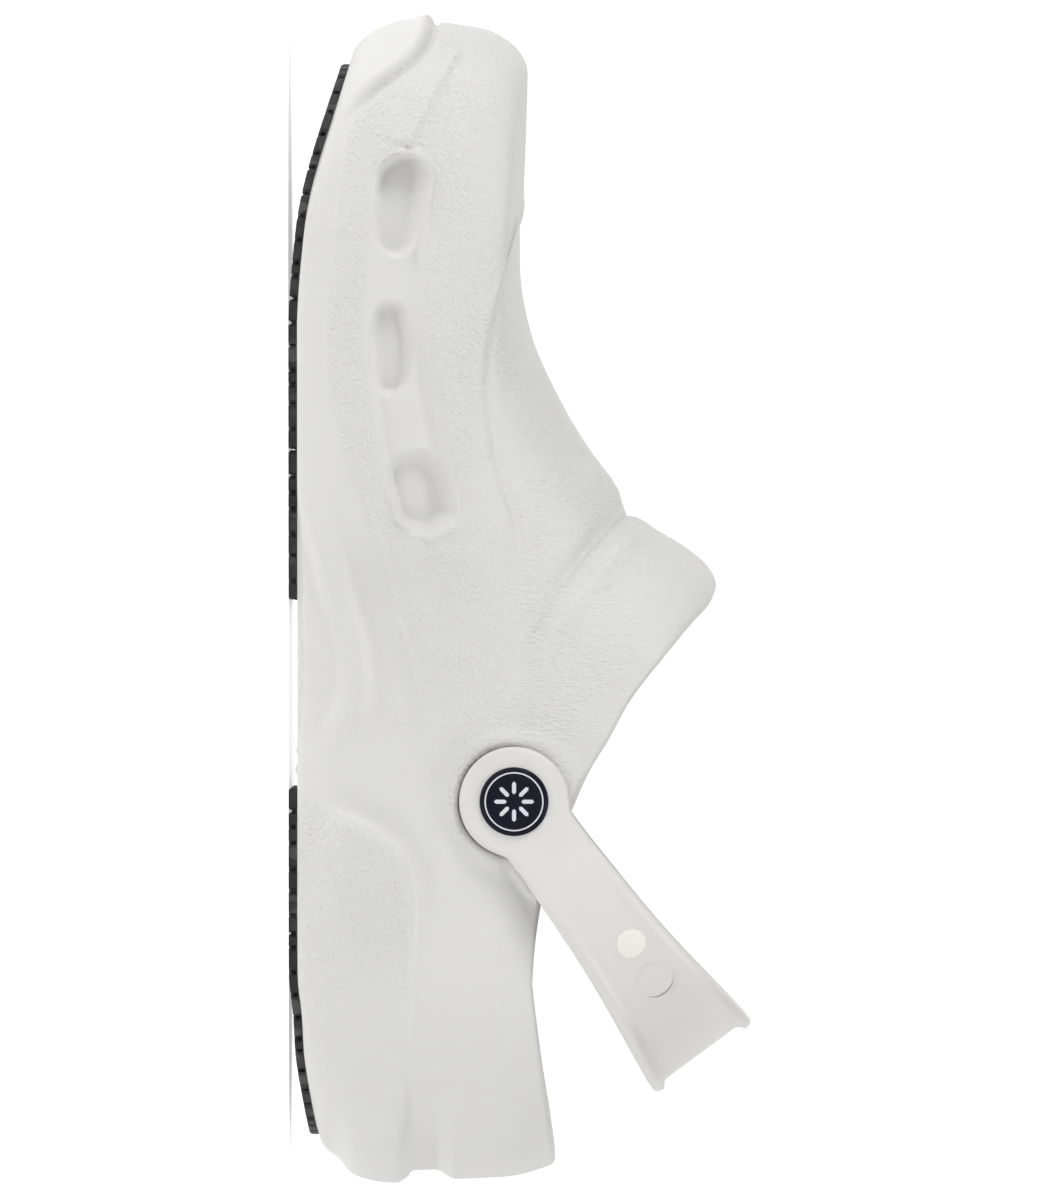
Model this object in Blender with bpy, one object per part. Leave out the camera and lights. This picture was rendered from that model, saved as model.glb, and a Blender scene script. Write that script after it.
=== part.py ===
"""Right work clog of moulded white foam: hollow body, two rubber tread pods, and a heel strap on two rivets.

Metres, +Z up. The toe points along -Y and the inner side of the foot is +X. The origin is at floor level in the
middle of the shoe's length and width. The body is one closed surface made of rings that run round the foot: up
from the sole's edge, over the flank and the toe to the collar, over the rim, down the inside and across the
footbed.
"""
import math

import bmesh
import bpy
import numpy as np
from mathutils import Vector
from mathutils.bvhtree import BVHTree

# Driving sizes of the moulded body
LENGTH = 0.290
BALL_WIDTH = 0.1158
TOE_HEIGHT = 0.0593
INSTEP_HEIGHT = 0.0842
COLLAR_HEIGHT = 0.1063
SIDE_HEIGHT = 0.0602
HEEL_HEIGHT = 0.0658
WALL = 0.0048
HEEL_WALL = 0.0090
RIM_ROUND = 0.4
TOE_SPRING = 0.0133
HEEL_SPRING = 0.0052
TOE_ROUND = 0.0140
SIDE_ROUND = 0.0100
COLLAR_SIDE_ROUND = 0.0030
SOLE_EDGE_ROUND = 0.0052
SOLE_END_ROUND = 0.0095
NOSE_HEIGHT = 0.0340
FLANK_HEIGHT = 0.0262
FOOTBED_THICKNESS = 0.0160
FOOTBED_TOE_THICKNESS = 0.0100
FOOTBED_HEEL_THICKNESS = 0.0225
FOOTBED_FILLET = 0.0035
FOOTBED_SEAM = 0.0004
HEEL_GROOVE_HEIGHT = 0.0330
HEEL_GROOVE_WIDTH = 0.0150
HEEL_GROOVE_DEPTH = 0.0030

# Side recess and its pockets
CHANNEL_DEPTH = 0.0014
POCKET_DEPTH = 0.0034

# Tread pods
TREAD_DEPTH = 0.0022
POD_THICKNESS = 0.0018
POD_MARGIN = 0.0020
FOREFOOT_PITCH = 0.0106
HEEL_PITCH = 0.0097
LUG_SHARE = 0.66
GROOVE_WIDTH = 0.0034
CLEARANCE = 0.0003
CUTTER_REACH = 0.02

# Heel strap, rivets and buttons. The pivot is placed from the heel and from the rim above it, and the flat seats
# of the bosses from the outline beside it.
PIVOT_FROM_HEEL = 0.0951
PIVOT_BELOW_RIM = 0.0146
SEAT_DEPTH = 0.0035
STRAP_TILT = math.radians(36.4)
STRAP_REACH = 0.078
STRAP_STRAIGHT = 0.0040
BOSS_RADIUS = 0.0136
BOSS_THICKNESS = 0.0058
SEAT_MARGIN = 0.0022
STRAP_THICKNESS = 0.0046
STRAP_NECK = 0.0192
STRAP_MIDDLE = 0.0224
STRAP_BACK = 0.0300
STRAP_EDGE = 0.0010
BUTTON_RADIUS = 0.00857
BUTTON_THICKNESS = 0.0024
BUTTON_BEVEL = 0.0008
RIVET_RADIUS = 0.0035
RIVET_HEAD_RADIUS = 0.0065
RIVET_HEAD_THICKNESS = 0.0010
RIVET_FLANGE_RADIUS = 0.0070
RIVET_FLANGE_THICKNESS = 0.0014

RING_POINTS = 80
ROUND_SEGMENTS = 28
HALF_BALL = BALL_WIDTH / 2
HALF_LENGTH = LENGTH / 2
PIVOT_ALONG = LENGTH - PIVOT_FROM_HEEL

# Outline seen from above: along is a share of the length from the toe tip, inner and outer are half-widths as
# shares of half the ball width, measured from the middle of the shoe's box.
PLAN_ALONG = (0.0, 0.0083, 0.0217, 0.0417, 0.0752, 0.1252, 0.1862, 0.2503, 0.3007, 0.3755, 0.4507,
              0.5010, 0.5510, 0.6262, 0.7514, 0.8448, 0.8924, 0.9317, 0.9676, 0.9869, 0.9969, 1.0)
PLAN_INNER = (0.330, 0.610, 0.744, 0.857, 0.936, 0.985, 1.000, 0.988, 0.971, 0.945, 0.906,
              0.869, 0.857, 0.848, 0.845, 0.791, 0.727, 0.644, 0.489, 0.345, 0.190, 0.033)
PLAN_OUTER = (-0.330, -0.017, 0.155, 0.328, 0.535, 0.748, 0.902, 0.974, 1.000, 0.995, 0.943,
              0.898, 0.860, 0.834, 0.836, 0.786, 0.708, 0.622, 0.439, 0.301, 0.162, -0.033)

# Sections along the foot: the ridge of the upper as a share of the rise from toe height to instep height, the
# heights of the inner and outer shoulder beside it as shares of the toe height, and where the ridge runs, as a
# share of half the ball width to the inner side.
SECTION_ALONG = (0.0, 0.05, 0.10, 0.165, 0.235, 0.286, 0.315, 0.345, 0.374, 0.403, 0.4276, 0.52, 1.0)
SECTION_RIDGE = (0.0, 0.0, -0.02, -0.065, -0.055, 0.095, 0.25, 0.434, 0.65, 0.895, 1.0, 1.0, 1.0)
SHOULDER_INNER = (0.97, 0.965, 0.945, 0.925, 0.89, 0.875, 0.87, 0.885, 0.91, 0.95, 0.98, 1.02, 1.02)
SHOULDER_OUTER = (0.95, 0.93, 0.90, 0.87, 0.84, 0.825, 0.825, 0.84, 0.87, 0.92, 0.96, 1.01, 1.02)
SECTION_RIDGE_SIDE = (0.330, 0.25, 0.15, 0.06, 0.02, 0.02, 0.03, 0.06, 0.09, 0.13, 0.16, 0.16, 0.10)

# Underside of the foam: lift at the toe and at the heel, as shares of toe spring and heel spring.
SOLE_ALONG = (0.0, 0.035, 0.083, 0.109, 0.167, 0.209, 0.265, 0.30)
SOLE_TOE_LIFT = (1.12, 1.0, 0.69, 0.51, 0.19, 0.08, 0.0, 0.0)
HEEL_ALONG = (0.80, 0.83, 0.852, 0.893, 0.9265, 0.964, 1.0)
HEEL_LIFT = (0.0, 0.04, 0.19, 0.33, 0.62, 1.0, 1.4)

# Foot of the collar band and rim of the collar, at stations of the outline. Along is a share of the length,
# inner and outer are shares of half the ball width. The foot's height is a share of the side height, plus a
# share of the rise from there to the instep.
COLLAR_STATION = (0.0, 0.1, 0.2, 0.3, 0.4, 0.5, 0.6, 0.7, 0.8, 0.9, 0.97, 1.0)
FOOT_ALONG_INNER = (0.4276, 0.4305, 0.4397, 0.4555, 0.478, 0.520, 0.597, 0.697, 0.797, 0.8945, 0.966, 0.9935)
FOOT_INNER = (0.187, 0.355, 0.510, 0.640, 0.732, 0.777, 0.797, 0.803, 0.795, 0.677, 0.415, 0.033)
FOOT_ALONG_OUTER = (0.4276, 0.4328, 0.449, 0.4745, 0.503, 0.539, 0.603, 0.699, 0.797, 0.8945, 0.966, 0.9935)
FOOT_OUTER = (-0.187, 0.030, 0.225, 0.412, 0.575, 0.684, 0.755, 0.790, 0.790, 0.668, 0.375, -0.033)
FOOT_SIDE = (1.0, 0.999, 0.995, 0.991, 0.986, 0.980, 0.968, 0.934, 0.902, 0.909, 0.934, 0.944)
FOOT_RISE = (1.0, 0.95, 0.82, 0.62, 0.35, 0.12, 0.0, 0.0, 0.0, 0.0, 0.0, 0.0)
RIM_ALONG_INNER = (0.4885, 0.4925, 0.504, 0.522, 0.547, 0.583, 0.634, 0.708, 0.799, 0.891, 0.957, 0.981)
RIM_INNER = (0.155, 0.300, 0.430, 0.545, 0.640, 0.700, 0.738, 0.762, 0.755, 0.636, 0.380, 0.033)
RIM_ALONG_OUTER = (0.4885, 0.492, 0.503, 0.5245, 0.555, 0.593, 0.641, 0.709, 0.799, 0.891, 0.957, 0.981)
RIM_OUTER = (-0.155, -0.010, 0.150, 0.305, 0.445, 0.560, 0.660, 0.735, 0.745, 0.627, 0.348, -0.033)

# Height of the rim along the foot: front rows are shares of the fall from collar height to side height, rear
# rows shares of the rise from side height to heel height.
RIM_ALONG = (0.4885, 0.500, 0.515, 0.547, 0.579, 0.6165, 0.643, 0.675, 0.715, 0.76, 0.80, 0.831)
RIM_FRONT = (1.0, 0.965, 0.88, 0.711, 0.545, 0.405, 0.305, 0.215, 0.11, 0.045, 0.012, 0.0)
RIM_REAR_ALONG = (0.831, 0.864, 0.908, 0.953, 0.982, 1.0)
RIM_REAR = (0.0, 0.18, 0.46, 0.82, 1.0, 1.0)

# Where the crown's fall reaches the shoulder's height, on the way from the ridge to the outline, and the share of
# the flank's run that rounds the shoulder.
SHOULDER_PLACE = 0.82
SHOULDER_RUN = 0.32

# Rings of the underside, as shares of the way from its middle to its edge, and rings of the footbed, with their
# lift as a share of the fillet. The middle lies behind the middle of the length by a share of it.
MIDDLE_SHARE = 0.03
UNDER_RINGS = (0.30, 0.60, 0.85)
FOOTBED_RINGS = ((0.985, 0.9), (0.94, 0.25), (0.86, 0.0), (0.62, 0.0), (0.34, 0.0))

# Side recess: lower and upper edge along the foot, heights as shares of the toe height.
CHANNEL_ALONG = (0.117, 0.1335, 0.167, 0.195, 0.267, 0.3155, 0.358, 0.3955, 0.419, 0.436, 0.4405)
CHANNEL_LOW = (0.498, 0.405, 0.366, 0.366, 0.339, 0.362, 0.388, 0.428, 0.464, 0.514, 0.585)
CHANNEL_HIGH = (0.505, 0.607, 0.590, 0.575, 0.556, 0.580, 0.619, 0.671, 0.685, 0.650, 0.593)

# Pockets in the recess: middle along the length, middle height and height as shares of the toe height, length
# as a share of the shoe's length, and tilt in degrees, rear end up.
POCKETS = (
    {"along": 0.1645, "height": 0.472, "length": 0.083, "tall": 0.195, "tilt": -3.0},
    {"along": 0.285, "height": 0.443, "length": 0.0776, "tall": 0.175, "tilt": 2.0},
    {"along": 0.4005, "height": 0.545, "length": 0.069, "tall": 0.180, "tilt": 17.0},
)


def fair(knots, values, at):
    """Cubic curve through the knots; its slope at a knot is that of the parabola through three of them."""
    knots, values, at = np.asarray(knots, float), np.asarray(values, float), np.asarray(at, float)
    run = np.diff(knots)
    rise = np.diff(values) / run
    middle = (rise[:-1] * run[1:] + rise[1:] * run[:-1]) / (run[:-1] + run[1:])
    slope = np.concatenate((rise[:1], middle, rise[-1:]))
    span = np.clip(np.searchsorted(knots, at) - 1, 0, len(run) - 1)
    way = np.clip((at - knots[span]) / run[span], 0.0, 1.0)
    start, end = values[span], values[span + 1]
    leave, arrive = slope[span] * run[span], slope[span + 1] * run[span]
    return (start + way * leave
            + way ** 2 * (3 * (end - start) - 2 * leave - arrive)
            + way ** 3 * (2 * (start - end) + leave + arrive))


def ease(value, low, high):
    """Smooth step from 0 at low to 1 at high."""
    way = np.clip((value - low) / (high - low), 0.0, 1.0)
    return way * way * (3 - 2 * way)


def round_loop(stations, inner, outer, angle):
    """Carry two columns round the foot: back along the inner side and forward again along the outer side.

    The station of an angle is (1 - cos angle) / 2, so the toe tip is at angle 0 and the heel at half a turn.
    """
    turn = np.arccos(1 - 2 * np.asarray(stations, float))
    knots = np.concatenate((turn, 2 * math.pi - turn[-2:0:-1]))
    values = np.concatenate((inner, np.asarray(outer)[-2:0:-1]))
    knots = np.concatenate((knots[-3:] - 2 * math.pi, knots, knots[:3] + 2 * math.pi))
    values = np.concatenate((values[-3:], values, values[:3]))
    return fair(knots, values, np.mod(angle, 2 * math.pi))


def across(stations, inner, outer, angle):
    """Distance to the inner side, from half-widths given as shares of half the ball width."""
    return HALF_BALL * round_loop(stations, inner, -np.asarray(outer), angle)


def station(angle):
    return (1 - np.cos(angle)) / 2


def outline(angle):
    """Widest outline of the body from above, as X and Y."""
    return across(PLAN_ALONG, PLAN_INNER, PLAN_OUTER, angle), LENGTH * station(angle) - HALF_LENGTH


def outward(angle):
    """Unit vector out of the outline."""
    step = 1e-3
    ahead, behind = outline(angle + step), outline(angle - step)
    run, rise = ahead[0] - behind[0], ahead[1] - behind[1]
    size = np.hypot(run, rise)
    return rise / size, -run / size


def half_widths(along):
    """Inner and outer edge of the outline at a share of the length."""
    turn = np.arccos(1 - 2 * np.clip(along, 0.0, 1.0))
    return outline(turn)[0], outline(2 * math.pi - turn)[0]


def underside(along):
    """Height of the foam's underside: tread depth plus toe spring and heel spring."""
    toe = TOE_SPRING * np.maximum(fair(SOLE_ALONG, SOLE_TOE_LIFT, along), 0.0)
    heel = HEEL_SPRING * np.maximum(fair(HEEL_ALONG, HEEL_LIFT, along), 0.0)
    return TREAD_DEPTH + toe + heel


def widest_height(along):
    return FLANK_HEIGHT + (NOSE_HEIGHT - FLANK_HEIGHT) * (1 - ease(along, 0.0, 0.2))


def crown(x, along):
    """Top of the upper as a height over the plan: the ridge, less a fall that grows with the cube of the way out.

    At the shoulder's place on the way from the ridge to the outline the fall reaches the shoulder's height.
    """
    ridge = TOE_HEIGHT + (INSTEP_HEIGHT - TOE_HEIGHT) * fair(SECTION_ALONG, SECTION_RIDGE, along)
    middle = HALF_BALL * fair(SECTION_ALONG, SECTION_RIDGE_SIDE, along)
    inner_fall = ridge - TOE_HEIGHT * fair(SECTION_ALONG, SHOULDER_INNER, along)
    outer_fall = ridge - TOE_HEIGHT * fair(SECTION_ALONG, SHOULDER_OUTER, along)
    fall = np.where(x > middle, inner_fall, outer_fall)
    inner, outer = half_widths(along)
    reach = np.where(x > middle, inner - middle, middle - outer)
    out = np.clip(np.abs(x - middle) / np.maximum(reach, TOE_ROUND), 0.0, 1.0)
    return ridge - fall * (out / SHOULDER_PLACE) ** 3


def front_weight(angle):
    """1 where the flank closes over the foot, 0 where it stands up as the heel's wall."""
    return 1 - ease(station(angle), 0.42, 0.66)


def collar_foot(angle):
    along = round_loop(COLLAR_STATION, FOOT_ALONG_INNER, FOOT_ALONG_OUTER, angle)
    rise = (INSTEP_HEIGHT - SIDE_HEIGHT) * round_loop(COLLAR_STATION, FOOT_RISE, FOOT_RISE, angle)
    height = SIDE_HEIGHT * round_loop(COLLAR_STATION, FOOT_SIDE, FOOT_SIDE, angle) + rise
    return across(COLLAR_STATION, FOOT_INNER, FOOT_OUTER, angle), LENGTH * along - HALF_LENGTH, height


def rim_height(along):
    front = SIDE_HEIGHT + (COLLAR_HEIGHT - SIDE_HEIGHT) * fair(RIM_ALONG, RIM_FRONT, along)
    rear = (HEEL_HEIGHT - SIDE_HEIGHT) * fair(RIM_REAR_ALONG, RIM_REAR, along)
    return front + rear


def rim(angle):
    """Where the outer face of the collar ends and the rim's rounding begins.

    In front the face ends level, at the rim's full height. At the heel it ends upright, below it.
    """
    along = round_loop(COLLAR_STATION, RIM_ALONG_INNER, RIM_ALONG_OUTER, angle)
    height = rim_height(along) - RIM_ROUND * WALL * (1 - front_weight(angle))
    return across(COLLAR_STATION, RIM_INNER, RIM_OUTER, angle), LENGTH * along - HALF_LENGTH, height


PIVOT_HEIGHT = float(rim_height(PIVOT_ALONG / LENGTH)) - PIVOT_BELOW_RIM
STRAP_SEAT = float(half_widths(PIVOT_ALONG / LENGTH)[0]) - SEAT_DEPTH


def sole_edge(angle, share):
    """Quarter ellipse from the underside's edge (share 0) up to the widest outline (share 1)."""
    x, y = outline(angle)
    out_x, out_y = outward(angle)
    along = station(angle)
    ends = np.maximum(1 - ease(along, 0.0, 0.14), ease(along, 0.86, 1.0))
    inset = SOLE_EDGE_ROUND + (SOLE_END_ROUND - SOLE_EDGE_ROUND) * ends
    turn = share * math.pi / 2
    inward = inset * (1 - np.sin(turn))
    x, y = x - inward * out_x, y - inward * out_y
    low = underside(y / LENGTH + 0.5)
    top = widest_height(along)
    return np.stack((x, y, low + (top - low) * (1 - np.cos(turn))), -1)


def flank(angle, share, groove_depth=HEEL_GROOVE_DEPTH):
    """From the widest outline (share 0) to the foot of the collar band (share 1).

    In front it rounds the shoulder first, square to the outline, and then runs over the crown. At the heel it is
    a wall that leans in, with a soft groove round it. The two are blended.
    """
    x, y = outline(angle)
    out_x, out_y = outward(angle)
    foot_x, foot_y, foot_z = collar_foot(angle)
    low = widest_height(station(angle))
    weight = front_weight(angle)

    sides = ease(station(angle), 0.0, 0.12)
    late = ease(station(angle), 0.34, 0.5)
    radius = TOE_ROUND + (SIDE_ROUND - TOE_ROUND) * sides
    radius = radius + (COLLAR_SIDE_ROUND - radius) * late
    turn = np.clip(share / SHOULDER_RUN, 0.0, 1.0) * math.pi / 2
    inward = radius * (1 - np.cos(turn))
    onward = np.clip((share - SHOULDER_RUN) / (1 - SHOULDER_RUN), 0.0, 1.0)
    over_x, over_y = x - inward * out_x, y - inward * out_y
    over_x, over_y = over_x + (foot_x - over_x) * onward, over_y + (foot_y - over_y) * onward
    top = crown(over_x, over_y / LENGTH + 0.5)
    last = crown(foot_x, foot_y / LENGTH + 0.5)
    over_z = low + (top - low) * np.sin(turn) + (foot_z - last) * onward ** 2

    lean = share ** 1.5
    wall_x, wall_y, wall_z = x + (foot_x - x) * lean, y + (foot_y - y) * lean, low + (foot_z - low) * share
    band = np.clip(1 - np.abs(wall_z - HEEL_GROOVE_HEIGHT) / (HEEL_GROOVE_WIDTH / 2), 0.0, 1.0)
    groove = groove_depth * band * band * (3 - 2 * band) * ease(station(angle), 0.74, 0.86)
    wall_x, wall_y = wall_x - groove * out_x, wall_y - groove * out_y
    return np.stack((wall_x + (over_x - wall_x) * weight, wall_y + (over_y - wall_y) * weight,
                     wall_z + (over_z - wall_z) * weight), -1)


def collar(angle, share):
    """From the foot of the collar band (share 0) to the rim (share 1), a quarter sine high in front."""
    foot, top = np.stack(collar_foot(angle), -1), np.stack(rim(angle), -1)
    weight = front_weight(angle)
    rise = share + (np.sin(share * math.pi / 2) - share) * weight
    point = foot + (top - foot) * share
    point[..., 2] = foot[..., 2] + (top[..., 2] - foot[..., 2]) * rise
    return point


def footbed_height(along):
    thin = 1 - ease(along, 0.0, 0.22)
    thick = ease(along, 0.30, 0.70)
    depth = FOOTBED_THICKNESS + (FOOTBED_TOE_THICKNESS - FOOTBED_THICKNESS) * thin
    return underside(along) + depth + (FOOTBED_HEEL_THICKNESS - depth) * thick


def body_rings():
    """All rings of the body, from the middle of the underside to the middle of the footbed."""
    angle = np.arange(RING_POINTS) * 2 * math.pi / RING_POINTS
    lower = [sole_edge(angle, share) for share in (0.0, 0.30, 0.62)]
    flank_shares = (0.0, 0.11, 0.22, 0.32, 0.43, 0.56, 0.70, 0.85, 1.0)
    upper = [collar(angle, share) for share in (0.12, 0.4, 0.7, 1.0)]
    outer = np.array(lower + [flank(angle, share) for share in flank_shares] + upper)

    plain = np.array([lower[-1]] + [flank(angle, share, groove_depth=0.0) for share in flank_shares] + upper)
    along_ring = np.roll(plain, -1, axis=1) - np.roll(plain, 1, axis=1)
    up_wall = np.gradient(plain, axis=0)
    normal = np.cross(along_ring, up_wall)
    normal /= np.linalg.norm(normal, axis=2, keepdims=True)

    height_share = np.linspace(0.0, 1.0, len(plain) - 1)[:, None, None]
    heel_share = (1 - front_weight(angle))[None, :, None]
    thickness = WALL + (HEEL_WALL - WALL) * heel_share * (1 - height_share)
    inner = plain[1:] - thickness * normal[1:]

    middle, reach = (outer[-1] + inner[-1]) / 2, (outer[-1] - inner[-1]) / 2
    upward = up_wall[-1] / np.linalg.norm(up_wall[-1], axis=1, keepdims=True)
    top = [middle + reach * math.cos(turn) + upward * RIM_ROUND * WALL * math.sin(turn)
           for turn in (math.pi * 0.2, math.pi * 0.5, math.pi * 0.8)]

    centre = np.array((0.0, MIDDLE_SHARE * LENGTH))
    floor = []
    edge = inner[0][:, :2]
    for scale, lift in FOOTBED_RINGS:
        place = centre + (edge - centre) * scale
        height = footbed_height(place[:, 1] / LENGTH + 0.5) + FOOTBED_FILLET * lift
        height = np.minimum(height, inner[0][:, 2] - FOOTBED_SEAM * (1 + scale))
        floor.append(np.column_stack((place, height)))

    under = []
    for scale in UNDER_RINGS:
        place = centre + (outer[0][:, :2] - centre) * scale
        under.append(np.column_stack((place, underside(place[:, 1] / LENGTH + 0.5))))
    return under + list(outer) + top + list(inner[::-1]) + floor, centre


def ring_mesh(name, rings, first_point, last_point):
    """Closed mesh from rings of equal count, with a fan to a point at each end."""
    count = len(rings[0])
    points = [tuple(point) for ring in rings for point in ring] + [tuple(first_point), tuple(last_point)]
    faces = []
    for level in range(len(rings) - 1):
        for index in range(count):
            following = (index + 1) % count
            here, above = level * count, (level + 1) * count
            faces.append((here + index, here + following, above + following, above + index))
    start, end, top = len(points) - 2, len(points) - 1, (len(rings) - 1) * count
    for index in range(count):
        following = (index + 1) % count
        faces.append((start, following, index))
        faces.append((end, top + index, top + following))
    mesh = bpy.data.meshes.new(name)
    mesh.from_pydata(points, [], faces)
    return fix_normals(mesh)


def fix_normals(mesh):
    builder = bmesh.new()
    builder.from_mesh(mesh)
    bmesh.ops.recalc_face_normals(builder, faces=builder.faces)
    builder.to_mesh(mesh)
    builder.free()
    return mesh


def material(name, colour, roughness, metallic=0.0):
    made = bpy.data.materials.new(name)
    made.use_nodes = True
    shader = made.node_tree.nodes["Principled BSDF"]
    shader.inputs["Base Color"].default_value = (*colour, 1.0)
    shader.inputs["Roughness"].default_value = roughness
    shader.inputs["Metallic"].default_value = metallic
    return made


def add(name, mesh, finish=None):
    piece = bpy.data.objects.new(name, mesh)
    bpy.context.scene.collection.objects.link(piece)
    if finish is not None:
        mesh.materials.append(finish)
        mesh.shade_smooth()
        mesh.set_sharp_from_angle(angle=math.radians(35))
    return piece


def cut(piece, cutter):
    """Take the cutter's shape out of the piece."""
    cutter.hide_render = True
    cutter.display_type = "WIRE"
    change = piece.modifiers.new(cutter.name, "BOOLEAN")
    change.operation = "DIFFERENCE"
    change.solver = "EXACT"
    change.object = cutter


def turned(name, profile, side, finish=None):
    """Solid of revolution about the strap's pivot axis, from (distance out along X, radius) pairs."""
    rings = []
    for reach, radius in profile:
        turn = np.arange(ROUND_SEGMENTS) * 2 * math.pi / ROUND_SEGMENTS
        y = PIVOT_ALONG - HALF_LENGTH + radius * np.cos(turn)
        z = PIVOT_HEIGHT + radius * np.sin(turn)
        rings.append(np.column_stack((np.full(ROUND_SEGMENTS, side * reach), y, z)))
    first = (side * profile[0][0], PIVOT_ALONG - HALF_LENGTH, PIVOT_HEIGHT)
    last = (side * profile[-1][0], PIVOT_ALONG - HALF_LENGTH, PIVOT_HEIGHT)
    return add(name, ring_mesh(name, rings, first, last), finish)


def recess_cutter(name, tree, side, loop, depth):
    """Block whose inner face follows the flank at a depth, inside a loop of (Y, Z) points."""
    far = BALL_WIDTH
    middle = np.mean(loop, axis=0)
    rings = [[(side * far, y, z) for y, z in loop]]
    for scale in (1.0, 0.55):
        ring = []
        for y, z in middle + (np.asarray(loop) - middle) * scale:
            hit = tree.ray_cast(Vector((side * far, y, z)), Vector((-side, 0, 0)))[0]
            ring.append((hit.x - side * depth, y, z))
        rings.append(ring)
    hit = tree.ray_cast(Vector((side * far, *middle)), Vector((-side, 0, 0)))[0]
    floor_point = (hit.x - side * depth, *middle)
    return add(name, ring_mesh(name, rings, (side * far, *middle), floor_point))


def channel_loop():
    """Outline of the side recess, along its lower edge and back along its upper edge."""
    low = [(LENGTH * along - HALF_LENGTH, TOE_HEIGHT * z) for along, z in zip(CHANNEL_ALONG, CHANNEL_LOW)]
    high = [(LENGTH * along - HALF_LENGTH, TOE_HEIGHT * z) for along, z in zip(CHANNEL_ALONG, CHANNEL_HIGH)]
    return low + high[::-1]


def pocket_loop(pocket):
    """Squared oval, |x|^3.2 + |y|^3.2 = 1, turned by the pocket's tilt."""
    points = []
    tilt = math.radians(pocket["tilt"])
    for index in range(20):
        turn = 2 * math.pi * (index + 0.5) / 20
        flat, tall = math.cos(turn), math.sin(turn)
        power = 2 / 3.2
        flat = math.copysign(abs(flat) ** power, flat) * LENGTH * pocket["length"] / 2
        tall = math.copysign(abs(tall) ** power, tall) * TOE_HEIGHT * pocket["tall"] / 2
        points.append((LENGTH * pocket["along"] - HALF_LENGTH + flat * math.cos(tilt) - tall * math.sin(tilt),
                       TOE_HEIGHT * pocket["height"] + flat * math.sin(tilt) + tall * math.cos(tilt)))
    return points


def surface_tree(mesh):
    """Search tree over the mesh's faces, for finding where a line meets them."""
    return BVHTree.FromPolygons([vertex.co[:] for vertex in mesh.vertices],
                                [face.vertices[:] for face in mesh.polygons])


def make_body(foam):
    rings, centre = body_rings()
    along = centre[1] / LENGTH + 0.5
    bottom, top = float(underside(along)), float(footbed_height(along))
    mesh = ring_mesh("clog_body", rings, (*centre, bottom), (*centre, top))
    body = add("clog_body", mesh, foam)
    tree = surface_tree(mesh)
    for side, word in ((1, "inner"), (-1, "outer")):
        cut(body, recess_cutter(f"cut_channel_{word}", tree, side, channel_loop(), CHANNEL_DEPTH))
        for number, pocket in enumerate(POCKETS, 1):
            loop = pocket_loop(pocket)
            cut(body, recess_cutter(f"cut_pocket_{word}_{number}", tree, side, loop, POCKET_DEPTH))
        seat = ((BALL_WIDTH, BOSS_RADIUS + SEAT_MARGIN), (STRAP_SEAT, BOSS_RADIUS + SEAT_MARGIN))
        cut(body, turned(f"cut_seat_{word}", seat, side))
        hole = ((BALL_WIDTH, RIVET_RADIUS + CLEARANCE), (STRAP_SEAT / 2, RIVET_RADIUS + CLEARANCE))
        cut(body, turned(f"cut_rivet_hole_{word}", hole, side))
    for name, stations in pod_stations().items():
        cut(body, pod_cutter(f"cut_{name}", stations))
    return body


def pod_half_widths(y, extra=0.0):
    """Inner and outer edge of a pod at Y: the underside's edge moved in by the margin."""
    angle = np.linspace(0.0, 2 * math.pi, 721)
    edge = sole_edge(angle, 0.0)
    out_x, out_y = outward(angle)
    inset = POD_MARGIN - extra
    x, place = edge[:, 0] - inset * out_x, edge[:, 1] - inset * out_y
    return (np.interp(y, place[:361], x[:361]), np.interp(y, place[360:][::-1], x[360:][::-1]))


def pod_stations():
    """Rows of each pod along the foot: a lug and then a groove, from a whole number of pitches."""
    spans = {"outsole_forefoot": (0.047, 0.500, FOREFOOT_PITCH), "outsole_heel": (0.660, 0.953, HEEL_PITCH)}
    stations = {}
    for name, (start, end, pitch) in spans.items():
        count = max(2, round((end - start) * LENGTH / pitch + 1 - LUG_SHARE))
        step = (end - start) * LENGTH / (count - 1 + LUG_SHARE)
        rows = []
        for index in range(count):
            front = start * LENGTH + index * step
            rows += [front, front + LUG_SHARE * step]
        stations[name] = np.array(rows) - HALF_LENGTH
    return stations


def pod_cutter(name, stations):
    """Pocket for a pod in the underside, wider and deeper than the pod by the clearance."""
    ends = np.concatenate(([stations[0] - CLEARANCE], stations[1:-1], [stations[-1] + CLEARANCE]))
    inner, outer = pod_half_widths(ends, CLEARANCE)
    top = underside(ends / LENGTH + 0.5) + POD_THICKNESS + CLEARANCE
    points, faces = [], []
    for y, x_in, x_out, z in zip(ends, inner, outer, top):
        points += [(x_in, y, -CUTTER_REACH), (x_out, y, -CUTTER_REACH), (x_out, y, z), (x_in, y, z)]
    last = len(points) - 4
    for row in range(len(ends) - 1):
        here, there = 4 * row, 4 * row + 4
        for index in range(4):
            following = (index + 1) % 4
            faces.append((here + index, there + index, there + following, here + following))
    faces += [(0, 1, 2, 3), (last + 3, last + 2, last + 1, last)]
    mesh = bpy.data.meshes.new(name)
    mesh.from_pydata(points, [], faces)
    return add(name, fix_normals(mesh))


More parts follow.
